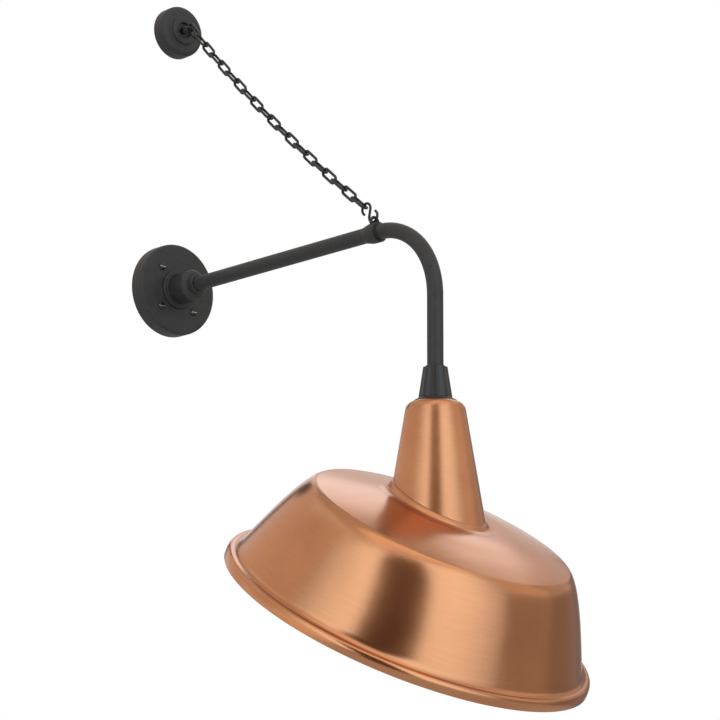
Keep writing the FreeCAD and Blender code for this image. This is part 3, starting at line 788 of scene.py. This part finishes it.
def make_screws():
    """The large plate's screws, black but for pale zinc at the bottom of their slots, which is a painted
    glint.
    """
    spots = []
    for i in range(screw_count):
        angle = 2 * math.pi * (i + 0.5) / screw_count
        across = sideways * math.cos(angle) + up * math.sin(angle)
        spots.append(across * screw_circle_r + outward * plate_depth)
    pattern = screw_head()
    screws = grown("plate_screws", spots_object(spots), repeat_tree(pattern), {}, screw_black)
    bpy.data.objects.remove(pattern)
    names = [f"plate_screw_{i + 1}" for i in range(screw_count)]
    dress(screws, screw_black, "wall_arm", "screw_zinc", *names)
    # The pale zinc on the slot floors is a painted glint, put there to make the slots shine.
    screws.data.materials.append(zinc)
    glinting_slot_floor = -(plate_depth + screw_head_h - screw_slot_depth)
    for face in screws.data.polygons:
        if abs(face.center.y - glinting_slot_floor) < fit_gap:
            face.material_index = 1


# Arm, collar and cable


def arm_line(start, end):
    """The arm's centre line from start off the wall to a height below the arm."""
    bend_centre = outward * (arm_reach - bend_r) + down * bend_r
    bend = arc_points(bend_centre, bend_r, outward, up, 90, -90, step=3.0)
    return [outward * start] + bend + [drop_axis + up * end]


def make_arm():
    """The bent pipe and the cable inside it."""
    pipe = wire("arm_pipe_bent", arm_line(pipe_start, pipe_low), pipe_r, powder_coat, sides=64)
    dress(pipe, powder_coat, "wall_arm", "black_coat", "arm_pipe")
    cable_low, cable_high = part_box("arm_cable")
    cable = wire("arm_cable_sheath", arm_line(-cable_high.y, cable_low.z), cable_r, cable_rubber)
    dress(cable, cable_rubber, "wall_arm", "cable", "arm_cable")


def make_collar():
    """The collar on the arm, tapered towards the wall, with a ring of wire as its upright lug."""
    corners = [
        (pipe_r + fit_gap, collar_at),
        (collar_lip_r, collar_at, collar_lip_round),
        (collar_r, collar_at + collar_taper, collar_taper_round),
        (collar_r, collar_end, collar_end_round),
        (pipe_r + fit_gap, collar_end),
    ]
    sleeve = lathe("sleeve", corners, arm_root, outward)
    centre = outward * lug_at + up * lug_height
    ring = arc_points(centre, lug_hole_r + lug_wire_r, sideways, up, 0, 360)[:-1]
    lug = wire("lug", ring, lug_wire_r, powder_coat, closed=True)
    collar = joined("chain_collar_cast", [sleeve, lug])
    dress(collar, powder_coat, "wall_arm", "black_coat", "chain_collar")


def make_eye():
    """The eye on the small plate: a ring of wire on a thick shank."""
    centre = chain_plate_centre + outward * eye_reach
    ring = arc_points(centre, eye_hole_r + eye_wire_r, sideways, outward, 0, 360)[:-1]
    loop = wire("loop", ring, eye_wire_r, chain_black, closed=True)
    end = eye_reach - eye_hole_r - fit_gap
    corners = [(0, 0), (eye_shank_r, 0), (eye_shank_r, end, *eye_shank_round), (0, end)]
    shank = lathe("shank", corners, chain_plate_centre, outward, steps=48)
    eye = joined("chain_eye_forged", [loop, shank])
    dress(eye, chain_black, "wall_arm", "black_chain", "chain_eye")


# Chain and hook


def pull_line():
    """The eye's outermost wire, the lug's topmost wire and the direction from one to the other."""
    eye = chain_plate_centre + outward * (eye_reach + eye_hole_r + eye_wire_r)
    lug = outward * lug_at + up * (lug_height + lug_hole_r + lug_wire_r)
    return eye, lug, (lug - eye).normalized()


def curl_centres():
    """The centres of the hook's lower and upper curls."""
    _, lug, pull = pull_line()
    lower = lug - pull * (hook_curl_r - hook_wire_r - lug_wire_r - hook_gap)
    return lower, lower - pull * hook_centres


def make_chain():
    """The chain, in a slack arc from the eye to the hook's upper curl."""
    eye, _, pull = pull_line()
    _, upper = curl_centres()
    first = eye - pull * (eye_wire_r + seat_gap)
    last = upper - pull * (hook_curl_r - hook_wire_r - hook_gap)
    sag_direction = sideways.cross(pull)
    half = (last - first).length / 2
    arc_r = (half * half + chain_sag * chain_sag) / (2 * chain_sag)
    pitch = 2 * arc_r * math.sin(math.asin(half / arc_r) / link_count)
    sizes = {
        "Start": first,
        "Middle": (first + last) / 2 + sag_direction * chain_sag,
        "End": last,
        "Links": link_count,
        "Link Length": pitch + seat_gap + 2 * link_wire_r,
        "Link Width": link_inner_width + 2 * link_wire_r,
        "Wire Radius": link_wire_r,
    }
    chain = grown("chain_of_links", spots_object([(0, 0, 0)]), chains, sizes, chain_black, chain_sharp)
    names = [f"chain_link_{i + 1:02d}" for i in range(link_count)]
    dress(chain, chain_black, "chain", "black_chain", *names)


def make_hook():
    """The S-hook: two open curls that turn opposite ways."""
    _, _, pull = pull_line()
    lower, upper = curl_centres()
    above = pull.cross(sideways)
    lean = math.degrees(math.acos(2 * hook_curl_r / hook_centres))
    path = arc_points(upper, hook_curl_r, pull, above, lean + hook_curl_turn, -hook_curl_turn)
    path += arc_points(lower, hook_curl_r, pull, above, lean + 180, hook_curl_turn)
    hook = wire("s_hook_bent", path, hook_wire_r, chain_black)
    dress(hook, chain_black, "wall_arm", "black_chain", "s_hook")


# Cup, washer, neck and band


def make_cup():
    """The ribbed cup: hollow flutes between narrow ribs, narrower towards its top."""
    height = cup_high.z - cup_low.z
    rib_half = math.asin(cup_rib_w / 2 / cup_bottom_r)
    pitch = 2 * math.pi / cup_ribs
    spokes, depths = [], []
    for i in range(cup_ribs):
        for k in range(flute_steps + 1):
            share = k / flute_steps
            angle = pitch * i + rib_half + (pitch - 2 * rib_half) * share
            spokes.append(sideways * math.cos(angle) - outward * math.sin(angle))
            depths.append(cup_flute_depth * math.sin(math.pi * share) ** flute_fullness)

    def ribbed(z, grow):
        """The ribbed outline at a height, grown evenly."""
        scale = (cup_bottom_r + (cup_top_r - cup_bottom_r) * (z - cup_low.z) / height) / cup_bottom_r
        middle = drop_axis + up * z
        return [middle + spoke * ((cup_bottom_r - d) * scale + grow) for spoke, d in zip(spokes, depths)]

    def circle(z, radius):
        """A round opening of the cup at a height."""
        return [drop_axis + up * z + spoke * radius for spoke in spokes]

    seat = pipe_low - cup_seat_gap
    rings = [
        circle(cup_low.z, nipple_r),
        ribbed(cup_low.z, -cup_edge),
        ribbed(cup_low.z + cup_edge, 0),
        ribbed(cup_high.z - cup_edge, 0),
        ribbed(cup_high.z, -cup_edge),
        circle(cup_high.z, pipe_r + fit_gap),
        circle(seat, pipe_r + fit_gap),
        circle(seat, nipple_r),
    ]
    dress(skin("socket_cup_cast", rings), cup_coat, "shade", "black_coat", "socket_cup")


def make_washer():
    """The washer between the cup and the neck."""
    corners = [
        (nipple_r, cup_low.z),
        (cup_bottom_r, cup_low.z),
        (washer_r, neck_top + washer_edge, *washer_top_round),
        (washer_r, neck_top, washer_foot_round),
        (nipple_r, neck_top),
    ]
    washer = lathe("neck_washer_turned", corners, drop_axis, up)
    dress(washer, powder_coat, "shade", "black_coat", "neck_washer")


def neck_r_at(z):
    """Outer radius of the neck's cone at a height."""
    return neck_top_r + neck_slope * (neck_top - z)


def make_neck(steps=192, rows=12):
    """The neck: a spun cone with a rounded top, cut aslant at its foot."""
    angles = angles_round(steps)
    spokes = [Vector((math.cos(a), math.sin(a), 0)) for a in angles]
    low, lean = math.cos(neck_cut_tilt), math.sin(neck_cut_tilt)

    def wall_rings(inset):
        """Rings from the nipple's hole over the top and down to the slanting cut."""
        top = neck_top - inset
        ease = neck_corner - inset
        corners = [
            (nipple_r, top),
            (neck_r_at(top) - inset, top, ease),
            (neck_r_at(neck_cut_z) - inset, neck_cut_z),
        ]
        outline = eased(corners)[:-1]
        rings = [[drop_axis + up * h + spoke * r for spoke in spokes] for r, h in outline]
        start = outline[-1].y
        reach = neck_top_r - inset + neck_slope * neck_top
        for row in range(1, rows + 1):
            ring = []
            for angle, spoke in zip(angles, spokes):
                side = math.sin(angle) * lean
                end = (neck_cut_z * low + side * reach) / (low + side * neck_slope)
                z = start + (end - start) * row / rows
                ring.append(drop_axis + up * z + spoke * (neck_r_at(z) - inset))
            rings.append(ring)
        return rings

    rings = wall_rings(0) + wall_rings(sheet_t)[::-1]
    dress(skin("neck_cone_spun", rings), neck_copper, "shade", "copper", "neck_cone")


def slant_oval(shift, grow, lean, steps=192):
    """The cone's oval in a plane `shift` below the neck's cut, grown, and moved to the wall by lean."""
    z = neck_cut_z - shift / math.cos(neck_cut_tilt)
    radius = neck_r_at(z)
    tilt_cos, tilt_sin = math.cos(neck_cut_tilt), math.sin(neck_cut_tilt)
    low_reach = radius / (tilt_cos - neck_slope * tilt_sin)
    high_reach = radius / (tilt_cos + neck_slope * tilt_sin)
    half_long = (low_reach + high_reach) / 2 + grow
    narrowing = tilt_cos ** 2 - (neck_slope * tilt_sin) ** 2
    half_wide = math.sqrt(low_reach * high_reach * narrowing) + grow
    centre = drop_axis + up * z + cut_low_side * ((low_reach - high_reach) / 2 - lean)
    oval = []
    for a in angles_round(steps):
        along = cut_low_side * (half_long * math.cos(a))
        oval.append(centre + along + sideways * (half_wide * math.sin(a)))
    return oval


def bowl_top(radius):
    """Height of the bowl's outside above its rim at a radius of its top, rounded at the crown's edge."""
    slope = (bowl_crown_h - bowl_shoulder_h) / (bowl_shoulder_r - bowl_crown_r)
    past = radius - bowl_crown_r
    if abs(past) < crown_round:
        return bowl_crown_h - slope * (past + crown_round) ** 2 / (4 * crown_round)
    return bowl_crown_h - max(0.0, past) * slope


def above_bowl(point):
    """Height of a point above the bowl's outside, along the bowl's axis."""
    offset = point - rim_centre
    height = offset.dot(bowl_up)
    return height - bowl_top((offset - bowl_up * height).length)


def on_bowl(start, end, lift, halvings=40):
    """Where the line through start and end meets the bowl's top, or a surface `lift` above it."""
    low, high = 0.0, line_stretch
    for _ in range(halvings):
        middle = (low + high) / 2
        if above_bowl(start.lerp(end, middle)) - lift > 0:
            low = middle
        else:
            high = middle
    return start.lerp(end, low)


def make_band(bends=5):
    """The band: a lip at the neck's cut, a step, and a foot that follows the bowl."""
    lip = slant_oval(band_lip_h, band_lip_bulge, 0)
    step = slant_oval(band_step_h, band_step_bulge, 0)
    foot = slant_oval(band_h, band_bulge, band_lean)
    wide = slant_oval(band_h, band_bulge + band_fillet, band_lean)
    inner_step = slant_oval(band_step_h, band_step_bulge - band_t, 0)
    inner_foot = slant_oval(band_h, band_bulge - band_t, band_lean)
    base = [on_bowl(b, c, fit_gap) for b, c in zip(step, foot)]
    reach = [on_bowl(b + (e - c), e, fit_gap) for b, c, e in zip(step, foot, wide)]
    rings = [slant_oval(0, -band_grip, 0), lip]
    for k in range(bends + 1):
        t = k / bends
        ring = []
        for a, b, c in zip(lip, step, foot):
            before, after = b.lerp(a, step_before), b.lerp(c, step_after)
            ring.append(before.lerp(b, t).lerp(b.lerp(after, t), t))
        rings.append(ring)
    for k in range(bends + 1):
        t = k / bends
        lead = foot_start + (1 - foot_start) * t
        rings.append([a.lerp(b, lead).lerp(b.lerp(c, t), t) for a, b, c in zip(step, base, reach)])
    rings.append([on_bowl(b, c, fit_gap) for b, c in zip(inner_step, inner_foot)])
    rings.append(inner_step)
    rings.append(slant_oval(0, -sheet_t, 0))
    band = skin("neck_band_formed", rings, spun_sharp)
    dress(band, neck_copper, "shade", "copper", "neck_band")


# Bowl


def hole_point(spoke, rounds=30):
    """A point of the hole's edge, inside the neck's oval, in a direction from the bowl's axis."""
    flat = Vector((spoke.x, spoke.y, 0)).normalized()
    z = neck_cut_z
    for _ in range(rounds):
        point = drop_axis + up * z + flat * (neck_r_at(z) - bowl_hole_margin)
        z -= above_bowl(point) / bowl_up.z * settling
    return on_bowl(point + up * hole_search, point - up * hole_search, 0.0)


def make_bowl(steps=256, rows=16):
    """The bowl: a spun wall with a rolled lip, and a top that closes in to the neck's hole."""
    first, second = frame_across(bowl_up)
    spokes = [first * math.cos(a) + second * math.sin(a) for a in angles_round(steps)]
    crease_r = bowl_rim_r - bowl_lip_w

    def wall_rings(inset):
        """Rings from the rim over the lip and the wall to the start of the top."""
        corners = [
            (bowl_rim_r - inset, 0.0),
            (bowl_rim_r - inset, bowl_lip_h - inset, bowl_lip_round - inset, bowl_lip_top_round - inset),
            (crease_r - inset, bowl_lip_h - inset, bowl_lip_top_round, bowl_crease_rise),
            (bowl_shoulder_r - inset, bowl_shoulder_h - inset, bowl_wall_round, bowl_top_round),
            (bowl_top_start_r, bowl_top(bowl_top_start_r) - inset),
        ]
        outline = eased(corners, bands=24)
        return [[rim_centre + bowl_up * h + spoke * r for spoke in spokes] for r, h in outline]

    outside = wall_rings(0.0)
    hole = [hole_point(spoke) for spoke in spokes]
    plan = []
    for row in range(1, rows + 1):
        ring = []
        for start, end in zip(outside[-1], hole):
            across = (start - rim_centre).lerp(end - rim_centre, row / rows)
            ring.append(across - bowl_up * across.dot(bowl_up))
        plan.append(ring)
    top = [[rim_centre + p + bowl_up * bowl_top(p.length) for p in ring] for ring in plan]
    under = [[rim_centre + p + bowl_up * (bowl_top(p.length) - sheet_t) for p in ring] for ring in plan]
    rings = outside + top + under[::-1] + wall_rings(sheet_t)[::-1]
    dress(skin("shade_bowl_spun", rings, spun_sharp), bowl_copper, "shade", "copper", "shade_bowl")


# Lampholder and bulb


def threaded(name, corners, depth, low, high):
    """A piece turned about the hanging axis, its wall with a round thread between two heights."""
    piece = lathe(name, corners, drop_axis, up, steps=72, bands=6)
    for vertex in piece.data.vertices:
        z = vertex.co.z
        if not low <= z <= high:
            continue
        across = Vector((vertex.co.x - drop_axis.x, vertex.co.y - drop_axis.y, 0))
        turn = math.atan2(across.y, across.x) / (2 * math.pi)
        fade = min(1.0, (z - low) / thread_pitch, (high - z) / thread_pitch)
        wave = math.cos(2 * math.pi * (z / thread_pitch - turn))
        vertex.co += across.normalized() * (depth * fade * wave)
    piece.data.update()
    return piece


def thread_rows(low, high):
    """Heights that are close enough to show a thread."""
    return [low + (high - low) * k / thread_steps for k in range(thread_steps + 1)]


def make_lampholder():
    """The porcelain lampholder, its rolled brass screw shell and its centre contact."""
    top, bottom = holder_high.z, holder_low.z
    seat = bottom + holder_seat
    corners = [
        (nipple_r + fit_gap, top),
        (holder_top_r, top, holder_top_round),
        (holder_r, top - holder_shoulder, holder_shoulder_round),
        (holder_r, bottom, holder_rim_round),
        (holder_bore_r, bottom, holder_mouth_round),
        (holder_bore_r, seat),
        (nipple_r + fit_gap, seat),
    ]
    holder = lathe("lampholder_porcelain", corners, drop_axis, up)
    dress(holder, porcelain, "shade", "porcelain", "lampholder_body")
    shell_low, shell_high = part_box("screw_shell")
    rows = thread_rows(shell_low.z, shell_high.z)
    inner = shell_r + shell_swell
    wall = [(inner, z) for z in rows] + [(inner + shell_t, z) for z in reversed(rows)]
    shell = threaded("screw_shell_rolled", wall, shell_swell, rows[1], rows[-2])
    dress(shell, shell_brass, "shade", "brass", "screw_shell")
    contact_low, contact_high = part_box("centre_contact")
    disc_r = (contact_high.x - contact_low.x) / 2
    disc = [
        (0, contact_low.z),
        (disc_r, contact_low.z, contact_round),
        (disc_r, contact_high.z),
        (0, contact_high.z),
    ]
    contact = lathe("centre_contact_pressed", disc, drop_axis, up, steps=48)
    dress(contact, shell_brass, "shade", "brass", "centre_contact")


def make_bulb():
    """The bulb's rolled cap and its opal glass."""
    rows = thread_rows(cap_low.z, cap_high.z)[:cap_wall_rows]
    wall = [(cap_r - cap_swell, z) for z in rows]
    wall += [(insulator_r, cap_high.z), (insulator_r - cap_lip_w, cap_high.z - cap_lip_h)]
    wall += [(cap_r - 2 * cap_swell, z) for z in reversed(rows)]
    cap = threaded("bulb_cap_rolled", wall, cap_swell, rows[cap_plain_rows], rows[-1])
    dress(cap, cap_metal, "bulb", "cap_metal", "bulb_cap")
    top, bottom = glass_high.z, glass_low.z
    corners = [
        (0.0, bottom),
        (glass_r, bottom, *glass_bottom_round),
        (glass_r, bottom + glass_shoulder, *glass_side_round),
        (glass_neck_r, top - glass_neck_length, glass_neck_round),
        (glass_neck_r, top),
        (0.0, top),
    ]
    glass = lathe("bulb_glass_blown", corners, drop_axis, up, steps=96, bands=16)
    dress(glass, opal_glass, "bulb", "bulb_glass", "bulb_glass")


def make_small_parts():
    """Nodes that keep their own solids and only get a finish."""
    finishes = {
        zinc: ("mounting_bar", "hub_locknut", "eye_nut", "neck_nipple", "neck_locknut"),
        screw_black: ("hub_set_screw", "collar_set_screw", "cup_set_screw_1", "cup_set_screw_2"),
        cap_metal: ("bulb_contact",),
        black_glass: ("bulb_insulator",),
    }
    for material, nodes in finishes.items():
        for node in nodes:
            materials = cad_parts[node].data.materials
            materials.clear()
            materials.append(material)


# Camera, light and surroundings

camera_place = Vector((-2.0847, -2.6799, -0.8545))
camera_azimuth = math.radians(-42.66)
camera_pitch = math.radians(12.553)
camera_roll = math.radians(0.235)
sensor_width = 36.0
focal_pixels = 2365.7
picture_pixels = 720
far_clip = 100.0
studio_centre = Vector((0, -0.45, -0.3))
daylight = (0.94, 1.06, 1.17)
beige = (1.0, 0.89, 0.81)
brown = (1.0, 0.5, 0.28)
floor_reach = 14.0
floor_level = -1.35
floor_grey = 0.8
floor_roughness = 0.9
fill_strength = 0.56


def camera_directions():
    """Where the camera looks, and its right and upward directions."""
    level, rise = math.cos(camera_pitch), math.sin(camera_pitch)
    right = Vector((math.cos(camera_azimuth), math.sin(camera_azimuth), 0))
    ahead = Vector((-math.sin(camera_azimuth) * level, math.cos(camera_azimuth) * level, rise))
    above = right.cross(ahead)
    rolled_right = right * math.cos(camera_roll) + above * math.sin(camera_roll)
    rolled_above = above * math.cos(camera_roll) - right * math.sin(camera_roll)
    return ahead, rolled_right, rolled_above


def make_camera():
    """The camera that was fitted to the photograph."""
    data = bpy.data.cameras.new("camera")
    camera = put("camera", data)
    ahead, right, above = camera_directions()
    turn = Matrix((right, above, -ahead)).transposed().to_4x4()
    camera.matrix_world = Matrix.Translation(camera_place) @ turn
    data.sensor_width = sensor_width
    data.lens = sensor_width * focal_pixels / picture_pixels
    data.clip_end = far_clip
    bpy.context.scene.camera = camera


def around(angle, distance, height):
    """A place round the studio's centre, its angle in degrees from the camera's side to the left."""
    ahead, right, _ = camera_directions()
    back = Vector((-ahead.x, -ahead.y, 0)).normalized()
    left = Vector((-right.x, -right.y, 0)).normalized()
    a = math.radians(angle)
    return studio_centre + (back * math.cos(a) + left * math.sin(a)) * distance + up * height


def facing(centre, direction):
    """The matrix that puts something at centre with its Z axis along a direction."""
    return Matrix.Translation(centre) @ direction.to_track_quat("Z", "Y").to_matrix().to_4x4()


def softbox(name, centre, width, height, power):
    """A lamp that faces the studio's centre and isn't seen, not in gloss either."""
    data = bpy.data.lights.new(name, "AREA")
    data.shape = "RECTANGLE"
    data.size, data.size_y = width, height
    data.energy = power
    lamp = put(name, data)
    lamp.matrix_world = facing(centre, centre - studio_centre)
    lamp.visible_camera = False
    lamp.visible_glossy = False


def glow_material(name, width, colour, strength, right_strength, steady):
    """Plain light of one strength, or one that fades to another at the right, past its steady part."""
    material = bpy.data.materials.new(name)
    material.use_nodes = True
    tree = material.node_tree
    tree.nodes.clear()
    if right_strength is not None:
        places = add(tree, "ShaderNodeTexCoord").outputs["Object"]
        span = {"From Min": -width / 2, "From Max": width / 2 - width * steady}
        span.update({"To Min": right_strength, "To Max": strength})
        span["Value"] = add(tree, "ShaderNodeSeparateXYZ", {0: places}).outputs["X"]
        strength = add(tree, "ShaderNodeMapRange", span, interpolation_type="SMOOTHSTEP")
    glow = add(tree, "ShaderNodeEmission", {"Color": (*colour, 1), "Strength": strength})
    add(tree, "ShaderNodeOutputMaterial", {"Surface": glow})
    return material


def card(name, centre, width, height, colour, strength, right_strength=None, steady=0.0):
    """A flat panel that faces the studio's centre, lights nothing and is seen only in gloss."""
    mesh = bpy.data.meshes.new(name)
    w, h = width / 2, height / 2
    mesh.from_pydata([(-w, -h, 0), (w, -h, 0), (w, h, 0), (-w, h, 0)], [], [(0, 1, 2, 3)])
    mesh.materials.append(glow_material(name, width, colour, strength, right_strength, steady))
    panel = put(name, mesh)
    panel.matrix_world = facing(centre, studio_centre - centre)
    panel.visible_camera = False
    panel.visible_diffuse = False
    panel.visible_shadow = False


def make_lamps():
    """Plain soft light from both sides and from above."""
    softbox("left softbox", around(35, 3.6, 1.2), 2.2, 3.3, 17)
    softbox("right softbox", around(-36, 3.6, 0.55), 2.76, 4.7, 30)
    softbox("top softbox", around(180, 0.5, 3.2), 3.4, 1.1, 30)


def make_cards():
    """What the copper mirrors: two bright panels with a dark gap between them, and a dimmer room."""
    card("left glow", around(41, 3.7, 1.2), 3.3, 3.3, daylight, 0.8, 2.12)
    card("right glow", around(-47, 3.7, 0.55), 4.8, 4.7, daylight, 1.9, 0.52, steady=0.3)
    card("left wing", around(56, 3.7, -0.2), 2.4, 2.2, beige, 1.2)
    card("left flag", around(82, 3.4, 1.8), 2.9, 3.2, beige, 0.84)
    card("far left flag", around(128, 3.4, 1.6), 2.9, 3.2, beige, 0.86)
    card("dark gap", around(2, 3.5, -0.1), 2.05, 5.0, brown, 0.13)
    card("front ceiling", around(-20, 1.7, 3.0), 3.8, 1.9, beige, 1.5)
    card("ceiling flag", around(0, 0.01, 3.4), 4.0, 5.0, beige, 0.74)
    card("right low flag", around(-84, 3.4, -0.62), 2.5, 2.7, beige, 0.5)
    card("right high flag", around(-84, 3.5, 1.78), 2.7, 2.1, beige, 0.95)
    card("far right low flag", around(-124, 3.2, -0.6), 2.5, 2.6, beige, 0.36)
    card("far right high flag", around(-125, 3.5, 1.6), 2.7, 2.1, beige, 0.66)
    card("left edge line", around(158, 2.9, 1.0), 0.4, 1.8, brown, 0.05)
    card("edge flag", around(-152, 3.1, 0.12), 1.0, 2.1, beige, 0.24)
    card("back flag", around(-165, 3.2, 1.42), 2.6, 1.23, beige, 0.75)
    card("back light", around(-164, 3.0, 3.0), 2.3, 1.4, daylight, 1.65)


def make_floor():
    """A pale floor that is clear when seen from below."""
    mesh = bpy.data.meshes.new("floor")
    far, level = floor_reach, floor_level
    corners = [(-far, -far, level), (far, -far, level), (far, far, level), (-far, far, level)]
    mesh.from_pydata(corners, [], [(0, 1, 2, 3)])
    pale = bpy.data.materials.new("pale floor")
    pale.use_nodes = True
    set_shader(pale, {"Base Color": (*grey(floor_grey), 1), "Roughness": floor_roughness})
    tree = pale.node_tree
    side = add(tree, "ShaderNodeNewGeometry").outputs["Backfacing"]
    clear = add(tree, "ShaderNodeBsdfTransparent")
    one_sided = add(tree, "ShaderNodeMixShader", {0: side, 1: tree.nodes["Principled BSDF"], 2: clear})
    feed(tree, tree.nodes["Material Output"], {"Surface": one_sided})
    mesh.materials.append(pale)
    floor = put("floor", mesh)


def make_world():
    """A white background, and a dimmer white that fills the shadows."""
    world = bpy.data.worlds.new("studio")
    bpy.context.scene.world = world
    world.use_nodes = True
    tree = world.node_tree
    tree.nodes.clear()
    path = add(tree, "ShaderNodeLightPath").outputs
    seen = calc(tree, "MAXIMUM", path["Is Camera Ray"], path["Is Glossy Ray"])
    seen = calc(tree, "MAXIMUM", seen, path["Is Transmission Ray"])
    white = {"Color": (*grey(1.0), 1)}
    fill = add(tree, "ShaderNodeBackground", {**white, "Strength": fill_strength})
    backdrop = add(tree, "ShaderNodeBackground", {**white, "Strength": 1.0})
    mixed = add(tree, "ShaderNodeMixShader", {0: seen, 1: fill, 2: backdrop})
    add(tree, "ShaderNodeOutputWorld", {"Surface": mixed})
    bpy.context.scene.view_settings.view_transform = "Standard"


make_wall_plate()
make_hub()
make_chain_plate()
make_screws()
make_arm()
make_collar()
make_eye()
make_chain()
make_hook()
make_cup()
make_washer()
make_neck()
make_band()
make_bowl()
make_lampholder()
make_bulb()
make_small_parts()
make_camera()
make_lamps()
make_cards()
make_floor()
make_world()
